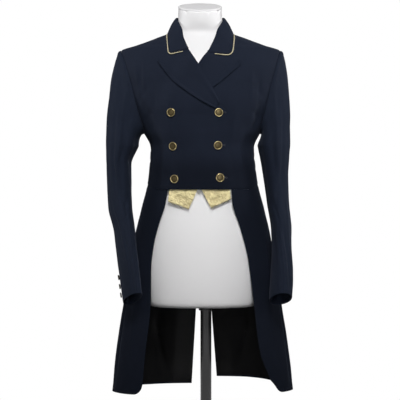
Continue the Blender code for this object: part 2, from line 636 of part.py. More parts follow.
def sleeve_ring_samples(side):
    """Points of the armhole in order from the shoulder down the front, under the arm and up the back."""
    samples = []
    for z in ARMHOLE_HEIGHTS[::-1]:
        samples.append((90 - armhole_spread(z), z))
    for column in range(1, 6):
        angle = SIDE_SEAM + (BACK_SEAM - SIDE_SEAM) * column / 6
        samples.append((angle, armhole_bottom(angle)))
    for z in ARMHOLE_HEIGHTS[:-1]:
        samples.append((90 + armhole_spread(z), z))
    ring = []
    for angle, z in samples:
        turn = math.atan2((90 - angle) / ARMHOLE_HALF_ANGLE, (z - ARMHOLE_MIDDLE_Z) / ARMHOLE_HALF_HEIGHT)
        start = coat_point(side * angle, z) + Vector((side * 0.0005, 0, 0))
        ring.append((turn, start))
    return ring


def sleeve_row_point(row, side, turn):
    """A point of one sleeve section. Turn 0 is the outer side, 90 degrees the front."""
    out = row.across * math.cos(turn)
    front = row.deep * math.sin(turn)
    yaw = math.radians(row.turn)
    lean = math.radians(row.lean)
    away = out * math.cos(yaw) - front * math.sin(yaw)
    ahead = (front * math.cos(yaw) + out * math.sin(yaw)) * math.cos(lean)
    up = (front * math.cos(yaw) + out * math.sin(yaw)) * math.sin(lean)
    return Vector((middle_x(row.z) + side * (row.out + away), row.y - ahead, row.z + up))


def sleeve_grid(side):
    """Rows of points from the armhole to the cuff."""
    rows = RIGHT_SLEEVE if side < 0 else LEFT_SLEEVE
    ring = sleeve_ring_samples(side)
    first = [sleeve_row_point(rows[0], side, turn) for turn, start in ring]
    grid = [[start for turn, start in ring]]
    for t in (0.08, 0.20, 0.36, 0.56, 0.78):
        line = []
        for (turn, start), end in zip(ring, first):
            reach = (end - start).length
            leave = Vector((side * 1.0, 0.0, 0.12)) * (0.026 + 0.12 * reach)
            arrive = Vector((0, 0, -1)) * reach
            line.append(start * (2 * t**3 - 3 * t**2 + 1) + leave * (t**3 - 2 * t**2 + t)
                        + end * (3 * t**2 - 2 * t**3) + arrive * (t**3 - t**2))
        grid.append(line)
    for row in rows:
        grid.append([sleeve_row_point(row, side, turn) for turn, start in ring])
    return grid


def parted(lines, row):
    """The rows down to one row and the rows from it, half a seam gap away on each side of it."""
    above, here, below = lines[row - 1:row + 2]
    upper_end = [point + (far - point).normalized() * (SEAM_GAP / 2) for point, far in zip(here, above)]
    lower_start = [point + (far - point).normalized() * (SEAM_GAP / 2) for point, far in zip(here, below)]
    return lines[:row] + [upper_end], [lower_start] + lines[row + 1:]


def build_sleeve(side):
    """Top sleeve on the outside and under sleeve on the inside, from the same rows of points."""
    label = "right" if side < 0 else "left"
    grid = sleeve_grid(side)
    front_seam = len(ARMHOLE_HEIGHTS) - 1
    back_seam = len(grid[0]) - len(ARMHOLE_HEIGHTS) + 3

    def strip(line):
        """Draws each end of a row in by a seam gap."""
        points = [point.copy() for point in line]
        for end, beside in ((0, 1), (-1, -2)):
            away = points[beside] - points[end]
            points[end] += away.normalized() * min(SEAM_GAP, away.length * 0.3)
        return points

    inside = []
    last = len(grid) - 1
    columns = len(grid[0])
    for r, line in enumerate(grid):
        points = []
        for c, point in enumerate(line):
            around = line[(c + 1) % columns] - line[c - 1]
            down = grid[min(r + 1, last)][c] - grid[max(r - 1, 0)][c]
            points.append(point - side * around.cross(down).normalized() * CLOTH)
        inside.append(points)
    elbow = len(grid) - len(RIGHT_SLEEVE) + ELBOW_ROW
    upper, lower = zip(parted(grid, elbow), parted(inside, elbow))
    top_columns = columns - back_seam + front_seam
    for name, layers, first, count in (("under_sleeve_", (grid, inside), front_seam, back_seam - front_seam),
                                       ("top_sleeve_", upper, back_seam, top_columns),
                                       ("top_sleeve_low_", lower, back_seam, top_columns)):
        order = [(first + i) % columns for i in range(count + 1)]
        walls = []
        for rows in layers:
            wall = [strip([line[i] for i in order]) for line in rows[::-1]]
            walls.append([line[::-1] for line in wall] if side > 0 else wall)
        closed_wall(name + label, walls[0], walls[1], NAVY_WOOL)


def build_vest_point(name, corners):
    """A pointed piece of leather whose top edge is held under the front hem."""
    rows = 5
    columns = 7
    top_left, top_right, low_right, low_left = corners
    grid = []
    for r in range(rows):
        t = r / (rows - 1)
        line = []
        for c in range(columns):
            s = c / (columns - 1)
            low_x = low_left[0] + (low_right[0] - low_left[0]) * s
            low_z = low_left[1] + (low_right[1] - low_left[1]) * s
            high_x = top_left[0] + (top_right[0] - top_left[0]) * s
            x = low_x + (high_x - low_x) * t
            z = low_z + (top_left[1] - low_z) * t
            line.append((angle_at(x, z), z, -(CLOTH + 0.0006)))
        grid.append(line)
    coat_wall(name, grid, GOLD_LEATHER, 0.0014)


def turned_body(name, profile, centre, axis, finish, sides=ROUND_SIDES):
    """A solid of revolution: profile rows are radius and height along the axis."""
    shape = bmesh.new()
    rotation = Vector((0, 0, 1)).rotation_difference(axis).to_matrix()
    rings = []
    for radius, height in profile:
        ring = []
        for i in range(sides):
            around = 2 * math.pi * i / sides
            local = Vector((radius * math.cos(around), radius * math.sin(around), height))
            ring.append(shape.verts.new(centre + rotation @ local))
        rings.append(ring)
    for low, high in zip(rings, rings[1:]):
        for i in range(sides):
            shape.faces.new((low[i], low[(i + 1) % sides], high[(i + 1) % sides], high[i]))
    shape.faces.new(rings[0][::-1])
    shape.faces.new(rings[-1])
    return add_object(name, shape, finish)


def button_profile(radius, height):
    """Flat back, rounded rim, a sunk ring and a low dome with a flat middle."""
    return [(radius * 0.80, 0.0), (radius, height * 0.45), (radius * 0.86, height * 0.92),
            (radius * 0.74, height * 0.72), (radius * 0.40, height)]


def build_front_buttons():
    for place in FRONT_BUTTONS:
        angle = angle_at(place.x, place.z)
        lift = overlap_lift(place.x, place.z)
        if place.name.endswith("outer"):
            lift += 0.0003
        seat = coat_point(angle, place.z, lift)
        axis = (coat_point(angle, place.z, lift + 0.01) - seat).normalized()
        profile = button_profile(BUTTON_RADIUS, BUTTON_HEIGHT)
        turned_body(place.name, profile, seat + axis * 0.0005, axis, ANTIQUE_BRASS, BUTTON_SIDES)


def build_cuff_buttons(side):
    """Three small buttons up the back of each cuff, on the top sleeve."""
    label = "right" if side < 0 else "left"
    rows = RIGHT_SLEEVE if side < 0 else LEFT_SLEEVE
    turn = math.radians(-48)
    for number, z in enumerate(CUFF_BUTTON_HEIGHTS, 1):
        middle = sleeve_between(rows, side, turn, z)
        beside = sleeve_between(rows, side, turn + 0.05, z) - sleeve_between(rows, side, turn - 0.05, z)
        below = sleeve_between(rows, side, turn, z - 0.01) - sleeve_between(rows, side, turn, z + 0.01)
        axis = beside.cross(below).normalized()
        if axis.x * side < 0:
            axis = -axis
        profile = button_profile(CUFF_BUTTON_RADIUS, CUFF_BUTTON_HEIGHT)
        name = "cuff_button_%s_%d" % (label, number)
        turned_body(name, profile, middle + axis * 0.0008, axis, ANTIQUE_BRASS, CUFF_BUTTON_SIDES)


def sleeve_between(rows, side, turn, z):
    """A point of the sleeve between two of its rows, as its flat faces run."""
    for high, low in zip(rows, rows[1:]):
        if low.z <= z <= high.z:
            t = (high.z - z) / (high.z - low.z)
            return sleeve_row_point(high, side, turn).lerp(sleeve_row_point(low, side, turn), t)
    return sleeve_row_point(rows[-1], side, turn)


def build_piping(side):
    """Narrow flat cord round the collar's front end, outside its edge."""
    label = "right" if side < 0 else "left"
    outline = PIPING[label]
    outer = []
    inner = []
    for index, (x, z) in enumerate(outline):
        before = outline[max(index - 1, 0)]
        after = outline[min(index + 1, len(outline) - 1)]
        along = Vector((after[0] - before[0], after[1] - before[1])).normalized()
        across = Vector((-along.y, along.x)) * -side
        lift = LAYER + LAPEL_GAP
        outer.append((angle_at(x, z), z, lift))
        x += across.x * PIPING_WIDTH
        z += across.y * PIPING_WIDTH
        inner.append((angle_at(x, z), z, lift))
    places = [outer, inner]
    coat_wall("collar_piping_" + label, places, PIPING_CORD, 0.0018)


def build_form():
    """Torso with a rounded lower edge and a neck whose top slopes down to the front."""
    columns = 44
    shape = bmesh.new()
    rings = []
    for index, row in enumerate(FORM):
        steps = 2 if 0.776 <= row.z < 1.04 else 1
        for step in range(steps):
            z = row.z if steps == 1 else row.z + (FORM[index + 1].z - row.z) * step / steps
            tilt = NECK_TILT * smooth_step((z - 1.440) / (NECK_TOP_Z - 1.440))
            ring = []
            for column in range(columns):
                point = section_point(FORM, 360 * column / columns, z)
                ring.append(shape.verts.new(point + Vector((0, 0, tilt * point.y))))
            rings.append(ring)
    for low, high in zip(rings, rings[1:]):
        for i in range(columns):
            shape.faces.new((low[i], low[(i + 1) % columns], high[(i + 1) % columns], high[i]))
    shape.faces.new(rings[0][::-1])
    shape.faces.new(rings[-1])
    add_object("form_torso", shape, WHITE_FORM)


def build_neck_cap():
    axis = Vector((0, -NECK_TILT, 1)).normalized()
    seat = Vector((middle_x(NECK_TOP_Z), 0, NECK_TOP_Z)) + axis * SEAM_GAP
    radius = 0.0538
    profile = [(radius, 0.0), (radius, CAP_HEIGHT * 0.5), (radius - 0.0006, CAP_HEIGHT * 0.85),
               (radius - 0.0020, CAP_HEIGHT), (radius * 0.5, CAP_HEIGHT * 1.1)]
    turned_body("neck_cap", profile, seat, axis, WHITE_FORM)


def build_stand():
    up = Vector((0, 0, 1))
    floor = Vector((0, 0, 0))
    base = [(BASE_RADIUS - BASE_BEVEL * 0.3, 0.0), (BASE_RADIUS, BASE_BEVEL * 0.4), (BASE_RADIUS, BASE_HEIGHT * 0.6),
            (BASE_RADIUS - BASE_BEVEL, BASE_HEIGHT * 0.85), (BASE_RADIUS * 0.6, BASE_HEIGHT), (0.030, BASE_HEIGHT)]
    turned_body("stand_base", base, floor, up, BLACK_POST)
    sleeve_low = BASE_HEIGHT + SEAM_GAP
    sleeve = [(POST_RADIUS * 2.0, sleeve_low), (POST_RADIUS * 2.0, sleeve_low + 0.006), (POST_RADIUS * 1.5, sleeve_low + 0.014)]
    turned_body("stand_ferrule", sleeve, floor, up, BLACK_POST, 32)
    post_low = sleeve_low + 0.014 + SEAM_GAP
    post = [(POST_RADIUS, post_low), (POST_RADIUS, FORM_BOTTOM_Z - SEAM_GAP)]
    turned_body("stand_post", post, floor, up, BLACK_POST, 32)


build_form()
build_neck_cap()
build_stand()
for wearer_side in (-1, 1):
    build_front(wearer_side)
    build_side(wearer_side)
    build_back(wearer_side)
    build_skirt(wearer_side)
    build_lining(wearer_side)
    build_lapel(wearer_side)
    build_sleeve(wearer_side)
    build_piping(wearer_side)
    build_cuff_buttons(wearer_side)
build_collar()
build_front_buttons()
build_vest_point("vest_point_right", VEST_RIGHT)
build_vest_point("vest_point_left", VEST_LEFT)
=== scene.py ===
"""Tailcoat on a limbless dress form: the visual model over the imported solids. Metres, +Z up, front faces -Y."""

import math

import bpy
import numpy as np
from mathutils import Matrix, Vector, noise


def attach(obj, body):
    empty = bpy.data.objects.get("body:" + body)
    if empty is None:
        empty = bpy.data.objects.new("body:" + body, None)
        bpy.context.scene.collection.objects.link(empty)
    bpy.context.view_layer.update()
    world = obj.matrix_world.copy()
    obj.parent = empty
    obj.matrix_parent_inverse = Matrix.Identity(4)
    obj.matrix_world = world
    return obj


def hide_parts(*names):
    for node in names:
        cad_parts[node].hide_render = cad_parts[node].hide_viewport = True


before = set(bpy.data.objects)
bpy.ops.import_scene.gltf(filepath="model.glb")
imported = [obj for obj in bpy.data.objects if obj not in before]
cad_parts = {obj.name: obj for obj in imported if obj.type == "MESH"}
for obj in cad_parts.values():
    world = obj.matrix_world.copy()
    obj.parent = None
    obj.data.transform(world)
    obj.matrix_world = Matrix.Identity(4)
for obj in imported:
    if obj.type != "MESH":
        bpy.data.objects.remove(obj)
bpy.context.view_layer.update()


# Studio. A pale round floor under the stand, a white backdrop all round, and soft boxes above and in front.
# None of it is part of the object: the coat is dark and matt, so the light is broad and comes from the front.
FLOOR_RADIUS = 3.2
BACKDROP_RADIUS = 22.0


class Wire:
    """A shader socket. Sums, differences and products of wires add the Math nodes they need."""

    def __init__(self, finish, socket):
        self.finish = finish
        self.socket = socket

    def maths(self, operation, first, second):
        return self.finish.node("ShaderNodeMath", {"operation": operation}, {0: first, 1: second})

    def __add__(self, other):
        return self.maths("ADD", self, other)

    def __radd__(self, other):
        return self.maths("ADD", other, self)

    def __sub__(self, other):
        return self.maths("SUBTRACT", self, other)

    def __rsub__(self, other):
        return self.maths("SUBTRACT", other, self)

    def __mul__(self, other):
        return self.maths("MULTIPLY", self, other)

    def __rmul__(self, other):
        return self.maths("MULTIPLY", other, self)


class Finish:
    """A named material round one Principled shader, with its constant values set on the shader's own sockets."""

    def __init__(self, name, colour, constants):
        self.material = bpy.data.materials.new(name)
        self.material.use_nodes = True
        self.tree = self.material.node_tree
        self.shader = self.tree.nodes["Principled BSDF"]
        self.shader.inputs["Base Color"].default_value = (*colour, 1.0)
        for socket, value in constants.items():
            self.shader.inputs[socket].default_value = value

    def node(self, kind, settings, sockets, output=0):
        """Adds a node: its settings first, then a value or a wire for each of its sockets."""
        made = self.tree.nodes.new(kind)
        for key, value in settings.items():
            if key == "stops":
                for place, level in value:
                    stop = made.color_ramp.elements.new(place)
                    stop.color = (level, level, level, 1.0)
                made.color_ramp.elements.remove(made.color_ramp.elements[0])
                made.color_ramp.elements.remove(made.color_ramp.elements[-1])
            else:
                setattr(made, key, value)
        for key, value in sockets.items():
            if isinstance(value, Wire):
                self.tree.links.new(value.socket, made.inputs[key])
            else:
                made.inputs[key].default_value = value
        return Wire(self, made.outputs[output])

    def feed(self, socket, wire):
        self.tree.links.new(wire.socket, self.shader.inputs[socket])

    def mix(self, amount, first, second):
        """Blends two colours, each a wire or (r, g, b)."""
        colours = [c if isinstance(c, Wire) else (*c, 1.0) for c in (first, second)]
        return self.node("ShaderNodeMix", {"data_type": "RGBA"}, {0: amount, 6: colours[0], 7: colours[1]}, 2)

    def speckle(self, where, scale, detail=2.0, roughness=0.5):
        """Noise between 0 and 1 on some coordinates."""
        return self.node("ShaderNodeTexNoise", {}, {"Vector": where, "Scale": scale, "Detail": detail,
                                                    "Roughness": roughness})

    def bump(self, height, distance, strength=1.0):
        normal = self.node("ShaderNodeBump", {}, {"Height": height, "Distance": distance, "Strength": strength})
        self.feed("Normal", normal)

    def place(self, kind="Object"):
        return self.node("ShaderNodeTexCoord", {}, {}, {"Object": 3, "UV": 2}[kind])

    def part(self, axis=0, kind="UV"):
        """One of the three values of some coordinates."""
        return self.node("ShaderNodeSeparateXYZ", {}, {0: self.place(kind)}, axis)

    def wave(self, phase):
        """A sine between 0 and 1."""
        return self.node("ShaderNodeMath", {"operation": "SINE"}, {0: phase}) * 0.5 + 0.5

    def twist(self, pitch, ply):
        """The strands of a cord whose map runs along it and round it."""
        return self.wave(self.part(0) * (2 * math.pi / pitch) + self.part(1) * (2 * math.pi / ply))

    def ramp(self, value, *stops):
        """A value looked up between stops, each a place and a level."""
        return self.node("ShaderNodeValToRGB", {"stops": stops}, {0: value})


floor_finish = Finish("studio_floor", (0.62, 0.62, 0.62), {
    "Roughness": 0.9, "Emission Color": (1.0, 1.0, 1.0, 1.0), "Emission Strength": 0.45})
floor_grain = floor_finish.speckle(floor_finish.place(), 3.0)
floor_finish.feed("Base Color", floor_finish.mix(floor_grain, (0.60, 0.60, 0.60), (0.64, 0.64, 0.64)))
bpy.ops.object.select_all(action="DESELECT")
bpy.ops.mesh.primitive_circle_add(vertices=128, radius=FLOOR_RADIUS, fill_type="NGON", location=(0, 0, -0.0005))
studio_floor = bpy.context.object
studio_floor.name = "studio_floor"
bpy.ops.object.transform_apply(location=True)
studio_floor.data.materials.append(floor_finish.material)
studio_floor.visible_diffuse = False

backdrop_finish = Finish("studio_backdrop", (0.0, 0.0, 0.0), {
    "Roughness": 1.0, "Specular IOR Level": 0.0, "Emission Color": (1.0, 1.0, 1.0, 1.0), "Emission Strength": 1.0})
bpy.ops.object.select_all(action="DESELECT")
bpy.ops.mesh.primitive_uv_sphere_add(segments=48, ring_count=24, radius=BACKDROP_RADIUS)
backdrop = bpy.context.object
backdrop.name = "studio_backdrop"
backdrop.data.materials.append(backdrop_finish.material)
backdrop.visible_diffuse = False
backdrop.visible_glossy = False
backdrop.visible_shadow = False

world = bpy.data.worlds.new("studio_light")
world.use_nodes = True
world.node_tree.nodes["Background"].inputs["Color"].default_value = (1.0, 1.0, 1.0, 1.0)
world.node_tree.nodes["Background"].inputs["Strength"].default_value = 0.020
bpy.context.scene.world = world
bpy.context.scene.view_settings.view_transform = "Standard"

# name, place, point it faces, width, height, watts, how far its grid lets the light spread in degrees
SOFT_BOXES = (
    ("key_box", (0.15, -2.15, 2.60), (0.0, 0.0, 1.45), 0.9, 0.7, 10.6, 80.0),
    ("front_box", (0.1, -3.7, 1.7), (0.0, 0.0, 1.45), 0.9, 0.7, 2.6, 60.0),
    ("low_box", (0.0, -3.0, 0.90), (-0.015, 0.0, 0.88), 1.5, 0.3, 0.52, 26.0),
    ("left_strip", (-2.2, 0.30, 1.9), (-0.2, 0.0, 1.27), 0.4, 0.9, 1.3, 32.0),
    ("right_strip", (2.2, 0.30, 1.9), (0.2, 0.0, 1.27), 0.4, 0.9, 1.5, 32.0),
)
for box_name, stand_at, face_to, box_width, box_height, watts, spread in SOFT_BOXES:
    light = bpy.data.lights.new(box_name, "AREA")
    light.shape = "RECTANGLE"
    light.size = box_width
    light.size_y = box_height
    light.energy = watts
    light.spread = math.radians(spread)
    soft_box = bpy.data.objects.new(box_name, light)
    soft_box.location = stand_at
    soft_box.rotation_euler = (Vector(face_to) - Vector(stand_at)).to_track_quat("-Z", "Y").to_euler()
    bpy.context.scene.collection.objects.link(soft_box)


# Camera. Level, 1.02 m above the floor and 3.5 m in front of the post, where one metre fills the frame.
# Its lens is long, so that the coat's sides hardly taper toward the back.
camera = bpy.data.cameras.new("camera")
camera.sensor_width = 36.0
camera.lens = 126.0
camera_object = bpy.data.objects.new("camera", camera)
camera_object.location = (-0.0148, -3.5, 1.02)
camera_object.rotation_euler = (math.radians(90), 0.0, 0.0)
bpy.context.scene.collection.objects.link(camera_object)
bpy.context.scene.camera = camera_object


# Stand. A heavy steel disc, a cast ferrule screwed to it and a tube that the form drops on, all gloss black.
# The disc and ferrule are turned and painted, the tube is drawn and lacquered.
BASE_RADIUS = 0.170
BASE_EDGE_HEIGHT = 0.0105
BASE_SLOPE_START = 0.102
BASE_SLOPE_RISE = 0.0030
BASE_HUB_RADIUS = 0.040
BASE_HUB_RISE = 0.0004
POST_RADIUS = 0.0137
FERRULE_RADIUS = 0.0274
FERRULE_LOW = 0.0143
FERRULE_RING_HEIGHT = 0.006
# height of each step above the ring, and its upper edge as a share of its lower one
FERRULE_STEPS = ((0.0045, 0.80), (0.0032, 0.93))
POST_LOW = 0.0286
POST_HIGH = 0.7547
COLLAR_RING_HIGH = 0.744
COLLAR_RING_RADIUS = 0.0178
COLLAR_RING_SLOPE = 0.0006

lacquer = Finish("black_lacquer", (0.012, 0.012, 0.013), {
    "Metallic": 0.2, "Roughness": 0.24, "Coat Weight": 0.5, "Coat Roughness": 0.10})
lacquer_place = lacquer.place()
lacquer_dust = lacquer.speckle(lacquer_place, 9.0, 3.0)
lacquer_peel = lacquer.speckle(lacquer_place, 420.0, 1.0)
lacquer.feed("Base Color", lacquer.mix(lacquer_dust, (0.034, 0.034, 0.035), (0.060, 0.060, 0.061)))
lacquer.feed("Roughness", 0.18 + lacquer_dust * 0.16)
lacquer.bump(lacquer_peel, 0.00006)


def finish_piece(piece, finish, slot, *nodes):
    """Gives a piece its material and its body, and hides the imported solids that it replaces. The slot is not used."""
    piece.data.materials.append(finish.material)
    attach(piece, "root")
    if nodes:
        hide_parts(*nodes)


def pick(piece):
    """Makes a piece the only selected one and the active one."""
    bpy.ops.object.select_all(action="DESELECT")
    piece.select_set(True)
    bpy.context.view_layer.objects.active = piece


def clear_faces(piece):
    """Picks a piece and leaves none of its faces selected."""
    pick(piece)
    bpy.ops.object.mode_set(mode="EDIT")
    bpy.ops.mesh.select_mode(type="FACE")
    bpy.ops.mesh.select_all(action="DESELECT")
    bpy.ops.object.mode_set(mode="OBJECT")


def select_faces(piece, wanted):
    """Selects the faces for which wanted(centre, normal) holds, and goes to edit mode."""
    clear_faces(piece)
    for face in piece.data.polygons:
        face.select = bool(wanted(face.center, face.normal))
    bpy.ops.object.mode_set(mode="EDIT")


def faces_up(centre, normal):
    return normal.z > 0.9


def add_cylinder(sides, radius, low, depth):
    """An upright capped cylinder on the middle axis, from a height upward."""
    bpy.ops.object.select_all(action="DESELECT")
    bpy.ops.mesh.primitive_cylinder_add(vertices=sides, radius=radius, depth=depth, location=(0, 0, low + depth / 2))
    return bpy.context.object


def extrude_top(rise, share=1.0):
    """Draws the selected top up, and makes it a share of its former width."""
    bpy.ops.mesh.extrude_region_move(TRANSFORM_OT_translate={"value": (0, 0, rise)})
    if share != 1.0:
        bpy.ops.transform.resize(value=(share, share, 1.0))


def inset_top(width, rise):
    """Insets the selected top, and moves what lies inside up or down."""
    bpy.ops.mesh.inset(thickness=width)
    bpy.ops.transform.translate(value=(0, 0, rise))


def settle(piece, name):
    """Leaves edit mode, names the piece, puts its place in its mesh and points its faces outward."""
    if bpy.context.mode != "OBJECT":
        bpy.ops.object.mode_set(mode="OBJECT")
    clear_faces(piece)
    bpy.ops.object.mode_set(mode="EDIT")
    bpy.ops.mesh.select_all(action="SELECT")
    bpy.ops.mesh.remove_doubles(threshold=0.000002)
    bpy.ops.mesh.normals_make_consistent(inside=False)
    bpy.ops.object.mode_set(mode="OBJECT")
    piece.name = name
    piece.data.name = name
    bpy.ops.object.transform_apply(location=True, rotation=True, scale=True)


def add_bevel(piece, width, segments, angle=30.0):
    bevel = piece.modifiers.new("edge", "BEVEL")
    bevel.width = width
    bevel.segments = segments
    bevel.limit_method = "ANGLE"
    bevel.angle_limit = math.radians(angle)
    pick(piece)
    bpy.ops.object.modifier_apply(modifier=bevel.name)
    bpy.ops.object.shade_smooth_by_angle(angle=math.radians(40))


base = add_cylinder(128, BASE_RADIUS, 0.0, BASE_EDGE_HEIGHT)
select_faces(base, faces_up)
inset_top(BASE_RADIUS - BASE_SLOPE_START, BASE_SLOPE_RISE)
inset_top(BASE_SLOPE_START - BASE_HUB_RADIUS, BASE_HUB_RISE)
settle(base, "base_disc")
add_bevel(base, 0.0016, 3, 20.0)
finish_piece(base, lacquer, "black_post", "stand_base")

ferrule = add_cylinder(96, FERRULE_RADIUS, FERRULE_LOW, FERRULE_RING_HEIGHT)
select_faces(ferrule, faces_up)
for step_height, step_share in FERRULE_STEPS:
    extrude_top(step_height, step_share)
settle(ferrule, "ferrule")
add_bevel(ferrule, 0.0007, 3, 20.0)
finish_piece(ferrule, lacquer, "black_post", "stand_ferrule")

post = add_cylinder(96, POST_RADIUS, POST_LOW, COLLAR_RING_HIGH - POST_LOW)
select_faces(post, faces_up)
extrude_top(COLLAR_RING_SLOPE, COLLAR_RING_RADIUS / POST_RADIUS)
extrude_top(POST_HIGH - COLLAR_RING_HIGH - COLLAR_RING_SLOPE)
settle(post, "post")
add_bevel(post, 0.0005, 2, 20.0)
finish_piece(post, lacquer, "black_post", "stand_post")


# Dress form. One smooth limbless torso, moulded in plastic and sprayed a soft satin white, with a flat cap on its
# sloping neck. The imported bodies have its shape, so copies of them are merged, rounded and given the sprayed skin.
skin = Finish("white_form", (0.82, 0.815, 0.82), {"Roughness": 0.52, "Specular IOR Level": 0.35})
skin_place = skin.place()
skin_cloud = skin.speckle(skin_place, 5.0, 3.0)
skin_spray = skin.speckle(skin_place, 900.0, 2.0)
skin_scuff = skin.ramp(skin.speckle(skin_place, 34.0, 6.0, 0.7), (0.60, 0.0), (0.80, 1.0))
skin_tone = skin.mix(skin_cloud, (0.815, 0.808, 0.818), (0.845, 0.840, 0.845))
skin.feed("Base Color", skin.mix(skin_scuff * 0.10, skin_tone, (0.66, 0.65, 0.64)))
skin.feed("Roughness", 0.46 + skin_cloud * 0.12)
skin.bump(skin_spray, 0.00004)


def rounded_copy(node, name, levels):
    """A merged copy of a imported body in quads, with its subdivision applied."""
    copied = bpy.data.objects.new(name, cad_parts[node].data.copy())
    copied.data.materials.clear()
    copied.data.name = name
    bpy.context.scene.collection.objects.link(copied)
    pick(copied)
    bpy.ops.object.mode_set(mode="EDIT")
    bpy.ops.mesh.select_all(action="SELECT")
    bpy.ops.mesh.remove_doubles(threshold=0.00001)
    bpy.ops.mesh.tris_convert_to_quads(face_threshold=math.radians(60), shape_threshold=math.radians(60))
    bpy.ops.object.mode_set(mode="OBJECT")
    rounder = copied.modifiers.new("round", "SUBSURF")
    rounder.levels = levels
    rounder.render_levels = levels
    bpy.ops.object.modifier_apply(modifier=rounder.name)
    bpy.ops.object.shade_smooth_by_angle(angle=math.radians(50))
    return copied


torso = rounded_copy("form_torso", "dress_form", 2)
finish_piece(torso, skin, "white_form", "form_torso")

FORM_MIDDLE_X = -0.008
FORM_LEAN = 0.0153
FORM_LEAN_FROM_Z = 1.06
NECK_CAP_RADIUS = 0.0545
NECK_CAP_HEIGHT = 0.0052
NECK_TOP_Z = 1.4995
NECK_TILT = 0.30
NECK_CAP_SINK = 0.0010


def middle_x(z):
    """The form leans a little to the wearer's right from the waist up."""
    return FORM_MIDDLE_X - FORM_LEAN * np.maximum(0.0, z - FORM_LEAN_FROM_Z)


neck_axis = Vector((0.0, -NECK_TILT, 1.0)).normalized()
neck_seat = Vector((middle_x(NECK_TOP_Z), 0.0, NECK_TOP_Z)) - neck_axis * NECK_CAP_SINK
bpy.ops.object.select_all(action="DESELECT")
bpy.ops.mesh.primitive_cylinder_add(vertices=96, radius=NECK_CAP_RADIUS, depth=NECK_CAP_HEIGHT,
                                    location=neck_seat + neck_axis * NECK_CAP_HEIGHT / 2,
                                    rotation=(math.atan2(NECK_TILT, 1.0), 0, 0))
neck_cap = bpy.context.object
select_faces(neck_cap, lambda centre, normal: normal.z > 0.9 and centre.z > 0)
bpy.ops.mesh.inset(thickness=0.0035)
bpy.ops.transform.translate(value=neck_axis * 0.0002)
settle(neck_cap, "neck_cap_disc")
add_bevel(neck_cap, 0.0018, 4, 30.0)
finish_piece(neck_cap, skin, "white_form", "neck_cap")


# Back and tails. Two long wool panels, joined down the centre seam to the waist and open below it as a vent.
# Each is one cut piece from the neck to the hem, steam-shaped over the blades; the left tail hangs further back.
SIDES = ((-1, "right"), (1, "left"))
CLOTH = 0.0018
SEAM_GAP = 0.0003
SEWN_GAP = 0.00006
SEAM_DIP = 0.0011
SEAM_DIP_REACH = 0.0020
WAIST_FRONT_Z = 1.0454
WAIST_BACK_Z = 1.0620
SHOULDER_Z = 1.392
NECKLINE_Z = 1.4345
HEM_Z = 0.548
VENT_TOP_Z = 1.030
VENT_HALF_GAP_AT_HEM = {"right": 0.0285, "left": 0.037}
LEFT_TAIL_BACKWARD = 0.030
LEFT_TAIL_UPWARD = 0.0105
RIGHT_TAIL_DROP = 0.0040
SIDE_SEAM = 70.0
BACK_SEAM = 110.0
ARMHOLE_MIDDLE_Z = 1.2885
ARMHOLE_HALF_HEIGHT = 0.1035
ARMHOLE_HALF_ANGLE = 28.0
ARMHOLE_SQUARENESS = 2.4
ARMHOLE_LOW_Z = 1.2076
# distance between rows of points on the body and above the shoulder, and columns across each back
BODY_ROW = 0.0055
YOKE_ROW = 0.0045
BACK_COLUMNS = 44
TWILL_PITCH = 0.0011
# Between these heights, painted shade darkens the wool's base colour toward the bottom of the coat
SHADE_HIGH_Z = 1.140
SHADE_LOW_Z = 1.085

# The body at each height: half width, depth in front of and behind the middle, corner exponents
COAT = (
    (0.540, 0.2270, 0.1290, 0.1420, 1.90, 2.3),
    (0.660, 0.2120, 0.1180, 0.1480, 1.90, 2.3),
    (0.757, 0.1970, 0.1100, 0.1480, 1.90, 2.3),
    (0.850, 0.1840, 0.1060, 0.1460, 1.95, 2.3),
    (0.940, 0.1680, 0.1050, 0.1400, 2.10, 2.2),
    (1.000, 0.1530, 0.1055, 0.1240, 2.20, 2.2),
    (1.060, 0.1380, 0.1065, 0.1040, 2.30, 2.3),
    (1.100, 0.1330, 0.1080, 0.0960, 2.30, 2.3),
    (1.150, 0.1290, 0.1130, 0.0940, 2.30, 2.3),
    (1.190, 0.1470, 0.1190, 0.0980, 2.30, 2.3),
    (1.250, 0.1760, 0.1220, 0.1080, 2.30, 2.3),
    (1.310, 0.1920, 0.1140, 0.1130, 2.30, 2.3),
    (1.350, 0.2000, 0.1000, 0.1120, 2.25, 2.2),
    (1.375, 0.2010, 0.0860, 0.1040, 2.15, 2.1),
    (1.392, 0.1985, 0.0740, 0.0940, 2.10, 2.1),
    (1.405, 0.1620, 0.0640, 0.0850, 2.00, 2.0),
    (1.420, 0.1210, 0.0540, 0.0730, 2.00, 2.0),
    (1.4345, 0.0800, 0.0470, 0.0610, 2.00, 2.0),
)
HALF_WIDTH, FRONT_DEPTH, BACK_DEPTH, FRONT_CORNER, BACK_CORNER = 1, 2, 3, 4, 5

# Soft folds of the body cloth from one (angle, height) to another: depth, minus for a trough, and width
BODY_FOLDS = (
    (52, 1.262, 60, 1.205, -0.0045, 0.014),
    (-50, 1.250, -60, 1.190, -0.0030, 0.014),
    (-44, 1.345, -52, 1.285, -0.0025, 0.012),
    (40, 1.330, 50, 1.280, -0.0018, 0.012),
    (-58, 1.140, -40, 1.215, -0.0020, 0.016),
    (58, 1.140, 40, 1.205, -0.0020, 0.016),
    (-150, 0.930, -146, 0.580, -0.0060, 0.022),
    (150, 0.930, 147, 0.580, -0.0060, 0.022),
    (-100, 0.860, -94, 0.600, 0.0040, 0.025),
    (104, 0.880, 98, 0.600, 0.0040, 0.025),
)
